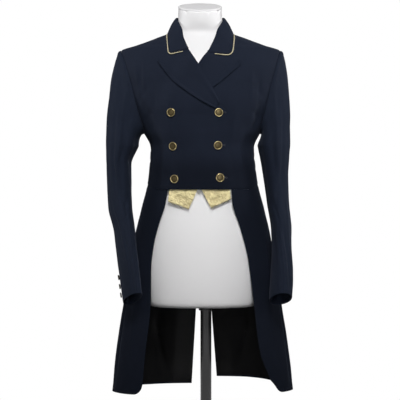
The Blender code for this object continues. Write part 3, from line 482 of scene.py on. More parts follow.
# Smaller creases that only the worn cloth shows
BODY_CREASES = (
    (44, 1.236, 60, 1.222, -0.0016, 0.005),
    (48, 1.218, 63, 1.198, 0.0012, 0.005),
    (-46, 1.232, -60, 1.214, -0.0014, 0.005),
    (-50, 1.210, -64, 1.190, 0.0010, 0.005),
    (-38, 1.300, -56, 1.262, -0.0012, 0.006),
    (34, 1.305, 56, 1.270, -0.0012, 0.006),
    (-30, 1.150, -52, 1.166, -0.0008, 0.006),
    (-32, 1.078, -56, 1.098, -0.0008, 0.007),
    (30, 1.152, 54, 1.172, -0.0008, 0.006),
    (32, 1.080, 56, 1.104, -0.0008, 0.007),
    (-8, 1.128, 12, 1.108, -0.0005, 0.006),
    (-12, 1.186, 10, 1.198, -0.0005, 0.006),
    (72, 1.120, 104, 1.128, -0.0012, 0.005),
    (74, 1.100, 106, 1.092, -0.0010, 0.005),
    (-72, 1.122, -102, 1.114, -0.0012, 0.005),
    (-76, 1.142, -104, 1.150, -0.0009, 0.005),
    (120, 1.128, 146, 1.116, -0.0010, 0.007),
    (-118, 1.118, -148, 1.130, -0.0011, 0.007),
    (124, 1.098, 152, 1.084, -0.0009, 0.007),
    (-122, 1.092, -150, 1.080, -0.0008, 0.007),
    (116, 1.330, 134, 1.280, -0.0016, 0.009),
    (-116, 1.334, -136, 1.276, -0.0018, 0.009),
    (122, 1.376, 150, 1.366, -0.0010, 0.008),
    (-124, 1.378, -148, 1.364, -0.0010, 0.008),
    (-128, 0.800, -124, 0.570, 0.0030, 0.014),
    (126, 0.820, 122, 0.570, 0.0028, 0.014),
    (-84, 0.900, -78, 0.620, -0.0036, 0.012),
    (-46, 1.234, -53, 1.194, -0.0036, 0.012),
    (50, 1.240, 57, 1.198, -0.0038, 0.012),
    (-51, 1.328, -52, 1.272, 0.0028, 0.009),
    (-24, 1.262, -27, 1.190, 0.0016, 0.008),
    (26, 1.240, 28, 1.170, 0.0016, 0.008),
    (-42, 1.352, -46, 1.290, 0.0018, 0.006),
    (-34, 1.310, -38, 1.240, -0.0014, 0.007),
    (36, 1.330, 40, 1.262, 0.0016, 0.006),
    (46, 1.306, 49, 1.250, -0.0018, 0.006),
    (-28, 1.150, -30, 1.062, -0.0014, 0.010),
    (30, 1.146, 31, 1.062, -0.0014, 0.010),
    (-40, 1.180, -44, 1.075, 0.0014, 0.008),
    (42, 1.176, 45, 1.080, 0.0014, 0.008),
    (86, 0.890, 78, 0.600, -0.0038, 0.012),
    (-62, 0.880, -56, 0.640, 0.0016, 0.012),
    (64, 0.920, 58, 0.700, 0.0016, 0.012),
    (-166, 0.860, -163, 0.570, 0.0018, 0.012),
    (166, 0.840, 163, 0.570, 0.0016, 0.012),
)


def smooth_step(value):
    value = np.clip(value, 0.0, 1.0)
    return value * value * (3 - 2 * value)


def read_table(rows, at, column):
    """Reads one column of a table, on a monotone cubic through its rows."""
    keys = np.array([row[0] for row in rows])
    values = np.array([row[column] for row in rows])
    slopes = np.diff(values) / np.diff(keys)
    same_way = slopes[:-1] * slopes[1:] > 0
    sums = np.where(same_way, slopes[:-1] + slopes[1:], 1.0)
    tangents = np.concatenate([slopes[:1], np.where(same_way, 2 * slopes[:-1] * slopes[1:] / sums, 0.0), slopes[-1:]])
    at = np.clip(at, keys[0], keys[-1])
    low = np.clip(np.searchsorted(keys, at, side="right") - 1, 0, len(keys) - 2)
    step = keys[low + 1] - keys[low]
    t = (at - keys[low]) / step
    return ((2 * t**3 - 3 * t**2 + 1) * values[low] + (t**3 - 2 * t**2 + t) * step * tangents[low]
            + (3 * t**2 - 2 * t**3) * values[low + 1] + (t**3 - t**2) * step * tangents[low + 1])


def coat_base(angle, z):
    """Points of the coat's surface with no folds. Angle 0 is the front and 90 is the wearer's left side."""
    sine = np.sin(np.radians(angle))
    cosine = np.cos(np.radians(angle))
    ahead = cosine > 0
    depth = np.where(ahead, read_table(COAT, z, FRONT_DEPTH), read_table(COAT, z, BACK_DEPTH))
    corner = np.where(ahead, read_table(COAT, z, FRONT_CORNER), read_table(COAT, z, BACK_CORNER))
    x = np.sign(sine) * np.abs(sine) ** (2 / corner) * read_table(COAT, z, HALF_WIDTH)
    y = -np.sign(cosine) * np.abs(cosine) ** (2 / corner) * depth
    low = smooth_step((0.90 - z) / 0.35)
    swing = smooth_step((angle - 95) / 60) * low
    drop = RIGHT_TAIL_DROP * smooth_step((-angle - 20) / 40) * low
    return np.stack([middle_x(z) + x, y + LEFT_TAIL_BACKWARD * swing, z + LEFT_TAIL_UPWARD * swing - drop], axis=-1)


def crease_sum(creases, across_angle, z, radius):
    """Sum of the troughs and ridges that pass near some points, each fading out toward its two ends."""
    total = np.zeros(np.broadcast(across_angle, z).shape)
    for angle_from, z_from, angle_to, z_to, depth, width in creases:
        across = np.radians(angle_to - angle_from) * radius
        along = z_to - z_from
        here_across = np.radians(across_angle - angle_from) * radius
        here_along = z - z_from
        length = np.hypot(across, along)
        t = (here_across * across + here_along * along) / length**2
        away = np.abs(here_across * along - here_along * across) / length
        ends = np.maximum(0.0, np.abs(t - 0.5) - 0.3) / 0.28
        total = total + depth * np.exp(-(away / width) ** 2) * np.exp(-ends**2)
    return total


def unevenness(points):
    """The slight unevenness of steamed and worn cloth, the same on every layer at one place."""
    flat = points.reshape(-1, 3)
    slow = [noise.noise(Vector(p) * 17.0) for p in flat]
    quick = [noise.noise(Vector(p) * 52.0) for p in flat]
    return (0.0008 * np.array(slow) + 0.00022 * np.array(quick)).reshape(points.shape[:-1])


def waist_z(angle):
    return WAIST_FRONT_Z + (WAIST_BACK_Z - WAIST_FRONT_Z) * smooth_step((np.abs(angle) - 38) / 70)


def seam_dip(angle, z, radius):
    """How far the ironed seams draw the cloth in: side, back, centre back and waist seams."""
    around = np.abs(angle)
    total = np.zeros(around.shape)
    for seam, low, high in ((SIDE_SEAM, WAIST_FRONT_Z, ARMHOLE_LOW_Z), (BACK_SEAM, HEM_Z, ARMHOLE_LOW_Z),
                            (180.0, VENT_TOP_Z, NECKLINE_Z), (90.0, SHOULDER_Z, NECKLINE_Z)):
        away = np.radians(around - seam) * radius
        total = total + np.where((z > low) & (z < high), np.exp(-(away / SEAM_DIP_REACH) ** 2), 0.0)
    beside_waist = np.where(around < BACK_SEAM, np.exp(-((z - waist_z(angle)) / SEAM_DIP_REACH) ** 2), 0.0)
    return SEAM_DIP * np.minimum(1.0, total + beside_waist)


def coat_points(angle, z, lift=0.0):
    """Points and outward normals of the coat, each moved out along its normal."""
    angle, z = np.broadcast_arrays(np.asarray(angle, float), np.asarray(z, float))
    step_z = 0.002
    side = coat_base(angle + 0.4, z) - coat_base(angle - 0.4, z)
    low = np.minimum(z + step_z, NECKLINE_Z) - step_z
    up = coat_base(angle, low + step_z) - coat_base(angle, low - step_z)
    normal = np.cross(side, up)
    normal /= np.linalg.norm(normal, axis=-1, keepdims=True)
    base_points = coat_base(angle, z)
    radius = read_table(COAT, z, HALF_WIDTH)
    depth = crease_sum(BODY_FOLDS + BODY_CREASES, angle, z, radius) + unevenness(base_points)
    depth = depth - seam_dip(angle, z, radius)
    return base_points + normal * (lift + depth)[..., None], normal


def angle_at(x, z):
    """The angle of the front surface at a distance from the body's middle."""
    ratio = np.minimum(0.99999, np.abs(x) / read_table(COAT, z, HALF_WIDTH))
    return np.sign(x) * np.degrees(np.arcsin(ratio ** (read_table(COAT, z, FRONT_CORNER) / 2)))


def armhole_spread(z):
    level = np.minimum(1.0, np.abs(z - ARMHOLE_MIDDLE_Z) / ARMHOLE_HALF_HEIGHT)
    return ARMHOLE_HALF_ANGLE * (1 - level**ARMHOLE_SQUARENESS) ** (1 / ARMHOLE_SQUARENESS)


def seam_inset(z):
    """Half a seam gap as an angle."""
    return np.degrees(SEWN_GAP / 2 / read_table(COAT, z, HALF_WIDTH)) * 2.2


def panel_outer_angle(z, seam):
    """Where a front (seam 70) or back (seam 110) panel ends: side seam, armhole, shoulder seam."""
    away = math.copysign(1, seam - 90)
    beside_armhole = 90 + away * np.maximum(armhole_spread(z), seam_inset(z))
    return np.where(z < ARMHOLE_LOW_Z, seam + away * seam_inset(z), beside_armhole)


def vent_angle(side, z):
    """Angle of a back panel's inner edge: the centre seam, and below it the open vent."""
    at_hem = VENT_HALF_GAP_AT_HEM["right" if side < 0 else "left"]
    half_gap = np.maximum(SEWN_GAP / 2, at_hem * (VENT_TOP_Z - z) / (VENT_TOP_Z - HEM_Z))
    ratio = half_gap / read_table(COAT, z, HALF_WIDTH)
    return 180 - np.degrees(np.arcsin(ratio ** (read_table(COAT, z, BACK_CORNER) / 2)))


def rows_between(low, high, spacing):
    """Heights spaced evenly along the surface, which lies nearly flat on the shoulders."""
    fine = np.linspace(low, high, 1500)
    reach = np.concatenate([[0.0], np.cumsum(np.hypot(np.diff(fine), np.diff(read_table(COAT, fine, HALF_WIDTH))))])
    return np.interp(np.linspace(0, reach[-1], int(reach[-1] / spacing) + 2), reach, fine)


def closed_wall(name, outer, inner):
    """A closed wall between two grids of points, with a UV map in metres along the cloth."""
    rows, columns = outer.shape[:2]
    index = np.arange(rows * columns).reshape(rows, columns)
    behind = index + rows * columns

    def quads(a, b, c, d):
        return np.stack([a, b, c, d], axis=-1).reshape(-1, 4)

    faces = np.concatenate([
        quads(index[:-1, :-1], index[:-1, 1:], index[1:, 1:], index[1:, :-1]),
        quads(behind[:-1, :-1], behind[1:, :-1], behind[1:, 1:], behind[:-1, 1:]),
        quads(index[0, :-1], behind[0, :-1], behind[0, 1:], index[0, 1:]),
        quads(index[-1, :-1], index[-1, 1:], behind[-1, 1:], behind[-1, :-1]),
        quads(index[:-1, 0], index[1:, 0], behind[1:, 0], behind[:-1, 0]),
        quads(index[:-1, -1], behind[:-1, -1], behind[1:, -1], index[1:, -1]),
    ])
    points = np.concatenate([outer.reshape(-1, 3), inner.reshape(-1, 3)])
    mesh = bpy.data.meshes.new(name)
    mesh.from_pydata(points.tolist(), [], faces.tolist())
    across = np.linalg.norm(np.diff(outer, axis=1), axis=2)
    across = np.concatenate([np.zeros((rows, 1)), np.cumsum(across, axis=1)], axis=1)
    along = np.linalg.norm(np.diff(outer, axis=0), axis=2)
    along = np.concatenate([np.zeros((1, columns)), np.cumsum(along, axis=0)], axis=0)
    across -= across[:, -1:] / 2
    lengths = np.stack([across.ravel(), along.ravel()], axis=1)
    lengths = np.concatenate([lengths, lengths])
    corners = np.empty(len(mesh.loops), dtype=np.int32)
    mesh.loops.foreach_get("vertex_index", corners)
    uv_map = mesh.uv_layers.new(name="cloth")
    uv_map.data.foreach_set("uv", lengths[corners].ravel())
    piece = bpy.data.objects.new(name, mesh)
    bpy.context.scene.collection.objects.link(piece)
    pick(piece)
    bpy.ops.object.shade_smooth_by_angle(angle=math.radians(48))
    return piece


def coat_panel(name, angle, z, lift=0.0, thickness=CLOTH):
    """A wall on the coat's surface, over grids of angles, heights and lifts that run toward the wearer's left."""
    outer, normal = coat_points(angle, z, lift)
    return closed_wall(name, outer, outer - normal * thickness)


wool = Finish("navy_wool", (0.017, 0.020, 0.034), {
    "Roughness": 0.82, "Specular IOR Level": 0.04, "Sheen Weight": 0.05, "Sheen Roughness": 0.45,
    "Sheen Tint": (0.55, 0.62, 0.85, 1.0)})


def weave_wool(finish, light, dark, low_shade):
    """Fine diagonal twill under a brushed nap, with slow shade changes, and painted shade that darkens the cloth toward
    the bottom of the coat.
    """
    ribs = finish.wave((finish.part(0) + finish.part(1) * 0.8) * (2 * math.pi / TWILL_PITCH))
    solid = finish.place()
    nap = finish.speckle(solid, 1400.0, 3.0, 0.7)
    brushed = finish.speckle(solid, 160.0, 4.0, 0.6)
    slow = finish.speckle(solid, 11.0, 3.0, 0.6)
    shade = slow * 0.55 + brushed * 0.30 + nap * 0.15
    # Painted shade: below SHADE_HIGH_Z the base colour is blended toward black, by up to low_shade
    painted_low_shade = finish.node("ShaderNodeMapRange", {"interpolation_type": "SMOOTHSTEP"},
                          {0: finish.part(2, "Object"), 1: SHADE_HIGH_Z, 2: SHADE_LOW_Z, 3: 0.0, 4: low_shade})
    finish.feed("Base Color", finish.mix(painted_low_shade, finish.mix(shade, dark, light), (0.0, 0.0, 0.0)))
    finish.feed("Roughness", 0.74 + brushed * 0.16)
    finish.bump(ribs * 0.25 + nap * 0.7 + brushed * 0.6, 0.00022, 0.7)


# The body wool takes up to 38 per cent painted shade below the waist
weave_wool(wool, (0.0156, 0.0205, 0.0350), (0.0090, 0.0118, 0.0202), 0.38)

for side, label in SIDES:
    heights = np.concatenate([rows_between(HEM_Z, SHOULDER_Z, BODY_ROW),
                              rows_between(SHOULDER_Z, NECKLINE_Z, YOKE_ROW)[1:]])
    outer_angle = panel_outer_angle(heights, BACK_SEAM)
    inner_angle = vent_angle(side, heights)
    shares = np.linspace(0.0, 1.0, BACK_COLUMNS)
    angles = side * (outer_angle[:, None] + (inner_angle - outer_angle)[:, None] * shares)
    levels = np.repeat(heights[:, None], len(shares), axis=1)
    if side < 0:
        angles = angles[:, ::-1]
    back = coat_panel("back_panel_" + label, angles, levels)
    finish_piece(back, wool, "navy_wool", "back_" + label, "tail_" + label)


# Side bodies. A short panel under each arm, from the armhole's lower curve down to the waist seam.
# It is eased into the side seams, so small creases gather at the waist.
WAIST_GAP = 0.00004
HEM_BLEND = 0.09
SIDE_COLUMNS = 26
SIDE_ROWS = 34


def armhole_bottom(angle):
    level = np.minimum(1.0, np.abs(np.abs(angle) - 90) / ARMHOLE_HALF_ANGLE)
    return ARMHOLE_MIDDLE_Z - ARMHOLE_HALF_HEIGHT * (1 - level**ARMHOLE_SQUARENESS) ** (1 / ARMHOLE_SQUARENESS)


for side, label in SIDES:
    across = np.linspace(SIDE_SEAM, BACK_SEAM, SIDE_COLUMNS)
    low = waist_z(across) + WAIST_GAP
    shares = np.linspace(0.0, 1.0, SIDE_ROWS)
    levels = low + (armhole_bottom(across) - low) * shares[:, None]
    inset = seam_inset(levels)
    angles = side * np.clip(np.broadcast_to(across, levels.shape), SIDE_SEAM + inset, BACK_SEAM - inset)
    if side < 0:
        angles, levels = angles[:, ::-1], levels[:, ::-1]
    side_body = coat_panel("side_panel_" + label, angles, levels)
    finish_piece(side_body, wool, "navy_wool", "side_" + label)


# Skirts. The cut-away lower fronts, sewn to the waist seam and curving back to a rounded hem corner.
# Each joins its tail at the back seam, and hangs free below the form.
HEM_CORNER_RADIUS = 0.024
SKIRT_TOP_BLEND_Z = 1.020
SKIRT_CORNER_Z = 0.575
SKIRT_COLUMNS = 46
RIGHT_SKIRT_EDGE = (
    (0.548, -0.1500), (0.6609, -0.1392), (0.7659, -0.1280), (0.8571, -0.1268),
    (0.9093, -0.1205), (0.9614, -0.1077), (1.0127, -0.0915), (1.0460, -0.0862),
)
LEFT_SKIRT_EDGE = (
    (0.548, 0.1800), (0.5852, 0.1640), (0.6519, 0.1398), (0.7628, 0.1258),
    (0.8800, 0.1105), (0.9548, 0.0909), (1.0183, 0.0714), (1.0460, 0.0702),
)


def skirt_front_angle(side, z):
    return np.abs(angle_at(read_table(RIGHT_SKIRT_EDGE if side < 0 else LEFT_SKIRT_EDGE, z, 1), z))


for side, label in SIDES:
    heights = np.concatenate([np.linspace(HEM_Z, SKIRT_CORNER_Z, 12),
                              rows_between(SKIRT_CORNER_Z, WAIST_FRONT_Z, BODY_ROW)[1:]])
    front_angle = skirt_front_angle(side, heights)
    back_angle = BACK_SEAM - seam_inset(heights)
    shares = np.linspace(0.0, 1.0, SKIRT_COLUMNS) ** 1.25
    angles = front_angle[:, None] + (back_angle - front_angle)[:, None] * shares
    levels = np.repeat(heights[:, None], len(shares), axis=1)
    flat_points = coat_base(side * angles, levels)
    from_edge = np.linalg.norm(flat_points - flat_points[:, :1], axis=2)
    inside = np.maximum(0.0, 1 - from_edge / HEM_CORNER_RADIUS)
    rise = HEM_CORNER_RADIUS * (1 - np.sqrt(1 - inside**2))
    levels = levels + rise * np.maximum(0.0, 1 - (levels - HEM_Z) / 0.03)
    top_share = np.maximum(0.0, (heights - SKIRT_TOP_BLEND_Z) / (WAIST_FRONT_Z - SKIRT_TOP_BLEND_Z))[:, None]
    seam_z = waist_z(angles) - WAIST_GAP
    levels = np.where(top_share > 0, SKIRT_TOP_BLEND_Z + (seam_z - SKIRT_TOP_BLEND_Z) * top_share, levels)
    angles = side * angles
    if side < 0:
        angles, levels = angles[:, ::-1], levels[:, ::-1]
    skirt = coat_panel("skirt_panel_" + label, angles, levels)
    finish_piece(skirt, wool, "navy_wool", "skirt_" + label)


# Tail linings. Black satin behind each skirt and tail, felled a little inside their edges.
# It hangs looser than the wool, so it ripples and takes soft diagonal lights.
LINING = 0.0010
LINING_GAP = 0.0004
LINING_LOW_Z = 0.553
LINING_HIGH_Z = 0.950
LINING_ROW = 0.0060
LINING_COLUMNS = 60
# ripples from one (angle, height) to another, on each side alike: depth and width
LINING_RIPPLES = (
    (158, 0.900, 128, 0.640, 0.0010, 0.014),
    (146, 0.700, 156, 0.600, 0.0040, 0.006),
    (132, 0.930, 100, 0.760, 0.0012, 0.012),
    (118, 0.760, 108, 0.580, 0.0014, 0.011),
)

satin = Finish("black_satin", (0.004, 0.004, 0.0045), {
    "Roughness": 0.40, "Specular IOR Level": 0.09, "Sheen Weight": 0.01, "Sheen Roughness": 0.35, "Anisotropic": 0.5})
satin_cloth = satin.place("UV")
satin_streaks = satin.speckle(satin.node("ShaderNodeMapping", {}, {"Vector": satin_cloth, "Scale": (900.0, 60.0, 1.0)}),
                              1.0, 2.0)
satin_slow = satin.speckle(satin_cloth, 14.0, 2.0)
satin.feed("Base Color", satin.mix(satin_slow, (0.0032, 0.0032, 0.0036), (0.0060, 0.0060, 0.0066)))
satin.feed("Roughness", 0.34 + satin_streaks * 0.14)
satin.bump(satin_streaks * 0.4 + satin_slow * 1.2, 0.0006, 0.6)

for side, label in SIDES:
    heights = rows_between(LINING_LOW_Z, LINING_HIGH_Z, LINING_ROW)
    front_angle = skirt_front_angle(side, heights)
    first = front_angle + (BACK_SEAM - front_angle) * 0.12
    last = vent_angle(side, heights) - 0.4
    shares = np.linspace(0.0, 1.0, LINING_COLUMNS)
    angles = side * (first[:, None] + (last - first)[:, None] * shares)
    levels = np.repeat(heights[:, None], len(shares), axis=1)
    if side < 0:
        angles = angles[:, ::-1]
    ripple = crease_sum(LINING_RIPPLES, np.abs(angles), levels, read_table(COAT, levels, HALF_WIDTH))
    lining = coat_panel("lining_sheet_" + label, angles, levels, -(CLOTH + LINING_GAP) - ripple, LINING)
    finish_piece(lining, satin, "black_satin", "tail_lining_" + label)


# Fronts. Each runs from the side seam to the overlap edge, and above the break to the lapel's roll line.
# The right front closes over the left one, and rises over the left lapel above the break.
LAYER = CLOTH + SEAM_GAP
LAPEL_GAP = 0.0011
OVERLAP_EDGE_X = 0.063
BREAK_Z = 1.246
FRONT_ROW = 0.0050
FRONT_COLUMNS = 60
RIGHT_ROLL = (
    (1.2460, 0.0550), (1.2611, 0.0430), (1.2870, 0.0292), (1.3163, 0.0135), (1.3505, -0.0072), (1.3616, -0.0150),
    (1.3762, -0.0230), (1.3925, -0.0315), (1.4050, -0.0430), (1.4200, -0.0600), (1.4260, -0.0675), (1.4305, -0.0735),
    (1.4335, -0.0775), (1.4345, -0.0795),
)
LEFT_ROLL = (
    (1.2460, -0.0626), (1.2692, -0.0500), (1.2960, -0.0349), (1.3229, -0.0211), (1.3505, -0.0072), (1.3791, 0.0127),
    (1.3925, 0.0275), (1.4050, 0.0430), (1.4200, 0.0600), (1.4260, 0.0675), (1.4305, 0.0735), (1.4335, 0.0775),
    (1.4345, 0.0795),
)


def overlap_lift(x, z):
    """How far the right front stands out over the left front and, above the break, over the left lapel too."""
    under_edge = np.where(z > BREAK_Z, read_table(LEFT_ROLL, z, 1), -OVERLAP_EDGE_X)
    over = smooth_step((x - under_edge + 0.062) / 0.046)
    height = LAYER + LAYER * smooth_step((z - BREAK_Z + 0.022) / 0.022) + LAPEL_GAP * 2
    return height * over * smooth_step((1.385 - z) / 0.03)


for side, label in SIDES:
    heights = np.concatenate([rows_between(WAIST_FRONT_Z, SHOULDER_Z, FRONT_ROW),
                              rows_between(SHOULDER_Z, NECKLINE_Z, YOKE_ROW)[1:]])
    roll_x = read_table(RIGHT_ROLL if side < 0 else LEFT_ROLL, heights, 1)
    edge_x = np.where(heights > BREAK_Z, roll_x, -side * OVERLAP_EDGE_X)
    inner_angle = angle_at(edge_x, heights)
    outer_angle = side * panel_outer_angle(heights, SIDE_SEAM)
    shares = np.linspace(0.0, 1.0, FRONT_COLUMNS)
    start, end = (outer_angle, inner_angle) if side < 0 else (inner_angle, outer_angle)
    angles = start[:, None] + (end - start)[:, None] * shares
    levels = np.repeat(heights[:, None], len(shares), axis=1)
    shift = waist_z(angles) + WAIST_GAP - WAIST_FRONT_Z
    levels = levels + shift * np.maximum(0.0, 1 - (levels - WAIST_FRONT_Z) / HEM_BLEND)
    across_x = coat_base(angles, levels)[..., 0] - middle_x(levels)
    lift = overlap_lift(across_x, levels) if side < 0 else np.zeros(levels.shape)
    front = coat_panel("front_panel_" + label, angles, levels, lift)
    finish_piece(front, wool, "navy_wool", "front_" + label)


# Lapels. The turned-back upper fronts, faced in the same wool, rolled softly at the roll line and pressed flat at
# their pointed edges. They lie on the fronts from the gorge seam down to the break.
LAPEL_ROLL_RADIUS = 0.0024
LAPEL_ROLL_COLUMNS = 9
LAPEL_ROWS = 60
LAPEL_COLUMNS = 34
# roll line and outer edge of each row, from the gorge seam to the break
RIGHT_LAPEL = (
    (-0.0265, 1.3825, -0.1055, 1.3590), (-0.0215, 1.3725, -0.0985, 1.3470), (-0.0155, 1.3610, -0.0876, 1.3323),
    (-0.0060, 1.3460, -0.0666, 1.3071), (0.0040, 1.3290, -0.0436, 1.2876), (0.0135, 1.3130, -0.0167, 1.2682),
    (0.0250, 1.2920, 0.0064, 1.2546), (0.0360, 1.2700, 0.0240, 1.2455), (0.0430, 1.2560, 0.0330, 1.2420),
)
LEFT_LAPEL = (
    (0.0145, 1.3760, 0.0980, 1.3585), (0.0085, 1.3670, 0.0950, 1.3480), (0.0010, 1.3570, 0.0795, 1.3343),
    (-0.0060, 1.3450, 0.0578, 1.3148), (-0.0150, 1.3300, 0.0264, 1.2915), (-0.0260, 1.3080, -0.0035, 1.2750),
    (-0.0390, 1.2840, -0.0280, 1.2604),
)


def read_rows(rows, share):
    """All columns of a list of rows at shares from its first row to its last."""
    keyed = [(place, *row) for place, row in enumerate(rows)]
    at = np.asarray(share, float) * (len(rows) - 1)
    return [read_table(keyed, at, column) for column in range(1, len(keyed[0]))]


for side, label in SIDES:
    rows = (RIGHT_LAPEL if side < 0 else LEFT_LAPEL)[::-1]
    roll_x, roll_z, edge_x, edge_z = [values[:, None] for values in read_rows(rows, np.linspace(0.0, 1.0, LAPEL_ROWS))]
    shares = np.linspace(0.0, 1.0, LAPEL_COLUMNS)
    x = roll_x + (edge_x - roll_x) * shares
    z = roll_z + (edge_z - roll_z) * shares
    lift = LAYER + LAPEL_GAP + (overlap_lift(x, z) if side < 0 else 0.0)
    swell = 0.0022 * np.exp(-((shares - 0.16) / 0.16) ** 2) + 0.0024 * np.exp(-((shares - 0.98) / 0.07) ** 2)
    angles = angle_at(x, z)
    outer, normal = coat_points(angles, z, lift + swell)
    inner = outer - normal * CLOTH
    turn = np.linspace(-math.pi / 2, math.pi / 2, LAPEL_ROLL_COLUMNS)[:-1]
    toward_neck = outer[:, :1] - outer[:, 1:2]
    toward_neck /= np.linalg.norm(toward_neck, axis=2, keepdims=True)
    centre = outer[:, :1] - normal[:, :1] * LAPEL_ROLL_RADIUS - toward_neck * LAPEL_ROLL_RADIUS * 0.8

    def roll(radius):
        return (centre + toward_neck * (radius * np.cos(turn))[None, :, None]
                + normal[:, :1] * (radius * np.sin(turn))[None, :, None])

    outer = np.concatenate([roll(LAPEL_ROLL_RADIUS), outer], axis=1)
    inner = np.concatenate([roll(LAPEL_ROLL_RADIUS - CLOTH), inner], axis=1)
    if side < 0:
        outer, inner = outer[:, ::-1], inner[:, ::-1]
    lapel = closed_wall("lapel_fold_" + label, outer, inner)
    finish_piece(lapel, wool, "navy_wool", "lapel_" + label)


# Collar. One folded wool wall round the neck, with its stand inside and its fall outside.
# It is moulded with steam, so it has no seam at the fold, and it meets the lapels at the gorge.
COLLAR_CLOTH = 0.0014
COLLAR_FOLD = 0.0040
COLLAR_SEAT = 0.0011
COLLAR_EDGE_GAP = 0.0015
# the gorge seam's direction outward and up
GORGE_OUT = 0.657
GORGE_UP = 0.753
# fold x, y, z, neck seam x, z, fall's edge x, z, from the back of the neck to the front end
COLLAR_BACK = (
    (0.0000, 0.0630, 1.4760, 0.0000, 1.4345, 0.0000, 1.4265), (0.0250, 0.0580, 1.4760, 0.0330, 1.4345, 0.0414, 1.4272),
    (0.0460, 0.0420, 1.4760, 0.0590, 1.4345, 0.0687, 1.4288), (0.0530, 0.0310, 1.4758, 0.0672, 1.4345, 0.0777, 1.4303),
    (0.0580, 0.0190, 1.4750, 0.0740, 1.4345, 0.0818, 1.4320), (0.0595, 0.0080, 1.4735, 0.0792, 1.4345, 0.0822, 1.4332),
)
COLLAR_FRONT = (
    (0.0595, -0.0040, 1.4710, 0.0790, 1.4345, 0.0808, 1.4332),
    (0.0570, -0.0160, 1.4655, 0.0745, 1.4315, 0.0808, 1.4298),
    (0.0530, -0.0270, 1.4580, 0.0680, 1.4270, 0.0800, 1.4220),
)
COLLAR_RIGHT_END = (
    (0.0450, -0.0450, 1.4400, 0.0570, 1.4165, 0.0785, 1.4070),
    (0.0412, -0.0590, 1.4180, 0.0465, 1.4050, 0.0768, 1.3940),
    (0.0300, -0.0785, 1.3905, 0.0320, 1.3890, 0.0755, 1.3790),
)
COLLAR_LEFT_END = (
    (0.0425, -0.0450, 1.4400, 0.0560, 1.4165, 0.0785, 1.4070),
    (0.0350, -0.0590, 1.4180, 0.0430, 1.4050, 0.0768, 1.3940),
    (0.0175, -0.0830, 1.3815, 0.0190, 1.3815, 0.0700, 1.3768),
)


def collar_station(row, side, behind):
    """Outer and inner points of the folded collar at one station, from the fall's edge over to the neck seam."""
    fold_x, fold_y, fold_z, seam_x, seam_z, edge_x, edge_z = row
    up = np.array([0.0, 0.0, 1.0])
    fold = np.array([middle_x(fold_z) + side * fold_x, fold_y, fold_z])
    if behind:
        seam_angle = 180 - math.degrees(math.asin(seam_x / COAT[-1][HALF_WIDTH]))
        edge_angle = 180 - math.degrees(math.asin(edge_x / float(read_table(COAT, edge_z, HALF_WIDTH))))
        run = up * COLLAR_SEAT
    else:
        seam_angle = float(angle_at(seam_x, seam_z))
        edge_angle = float(angle_at(edge_x, edge_z))
        run = np.array([-side * GORGE_OUT, 0.0, GORGE_UP]) * COLLAR_SEAT * 3
    edge_in = coat_points(side * edge_angle, edge_z, COLLAR_EDGE_GAP)[0]
    edge_out = coat_points(side * edge_angle, edge_z, COLLAR_EDGE_GAP + COLLAR_CLOTH)[0]
    away = edge_out - fold
    away[2] = 0
    away /= np.linalg.norm(away)
    wall = away * COLLAR_CLOTH
    foot = coat_points(side * seam_angle, seam_z)[0] + run - wall * 0.7
    stand = (foot + fold) / 2 + away * 0.0020
    crest = fold + away * COLLAR_FOLD * 0.6 + up * 0.0012
    fall_top = fold + away * COLLAR_FOLD
    fall = fall_top + (edge_out - fall_top) * 0.4 + away * 0.0016
    outer = (edge_out, fall, crest, fold, stand, foot)
    inner = (edge_in, fall - wall, crest - up * COLLAR_CLOTH, fold + wall - up * 0.0008, stand + wall, foot + wall)
    return outer, inner


def refine(grid, steps, axis):
    """Adds points between a grid's own along one axis, on smooth curves through them."""
    grid = np.moveaxis(grid, axis, 0)
    before = np.concatenate([2 * grid[:1] - grid[1:2], grid[:-2]])
    after = np.concatenate([grid[2:], 2 * grid[-1:] - grid[-2:-1]])
    start, end = grid[:-1], grid[1:]
    leave, arrive = (end - before) / 2, (after - start) / 2
    lines = []
    for t in np.arange(steps) / steps:
        lines.append(start * (2 * t**3 - 3 * t**2 + 1) + leave * (t**3 - 2 * t**2 + t)
                     + end * (3 * t**2 - 2 * t**3) + arrive * (t**3 - t**2))
    fine = np.stack(lines, axis=1).reshape(-1, *grid.shape[1:])
    return np.moveaxis(np.concatenate([fine, grid[-1:]]), 0, axis)


stations = [(row, -1, False) for row in (COLLAR_FRONT + COLLAR_RIGHT_END)[::-1]]
stations += [(row, -1, True) for row in COLLAR_BACK[:0:-1]] + [(row, 1, True) for row in COLLAR_BACK]
stations += [(row, 1, False) for row in COLLAR_FRONT + COLLAR_LEFT_END]
columns = [collar_station(row, side, behind) for row, side, behind in stations]
collar_outer = np.array([points[0] for points in columns]).transpose(1, 0, 2)
collar_inner = np.array([points[1] for points in columns]).transpose(1, 0, 2)
collar_outer = refine(refine(collar_outer, 8, 0), 6, 1)
collar_inner = refine(refine(collar_inner, 8, 0), 6, 1)
collar = closed_wall("collar_fold", collar_outer, collar_inner)
finish_piece(collar, wool, "navy_wool", "collar")


# Collar piping. A twisted gold cord sewn along the outside of the collar's front edges, down each side, round the
# corner and along the gorge. It ends a little short of the roll.
PIPING_RADIUS = 0.0013
PIPING_SIDES = 12
PIPING_PITCH = 0.0022
PIPING_PLY = 0.0041
PIPING_SINK = 0.0004
PIPING = {
    "right": ((-0.0840, 1.4285), (-0.0836, 1.4150), (-0.0824, 1.4000), (-0.0814, 1.3880), (-0.0795, 1.3785),
              (-0.0735, 1.3742), (-0.0640, 1.3755), (-0.0540, 1.3778), (-0.0434, 1.3801)),
    "left": ((0.0840, 1.4285), (0.0836, 1.4150), (0.0822, 1.4000), (0.0804, 1.3880), (0.0770, 1.3785),
             (0.0695, 1.3728), (0.0590, 1.3718), (0.0460, 1.3728), (0.0335, 1.3741)),
}

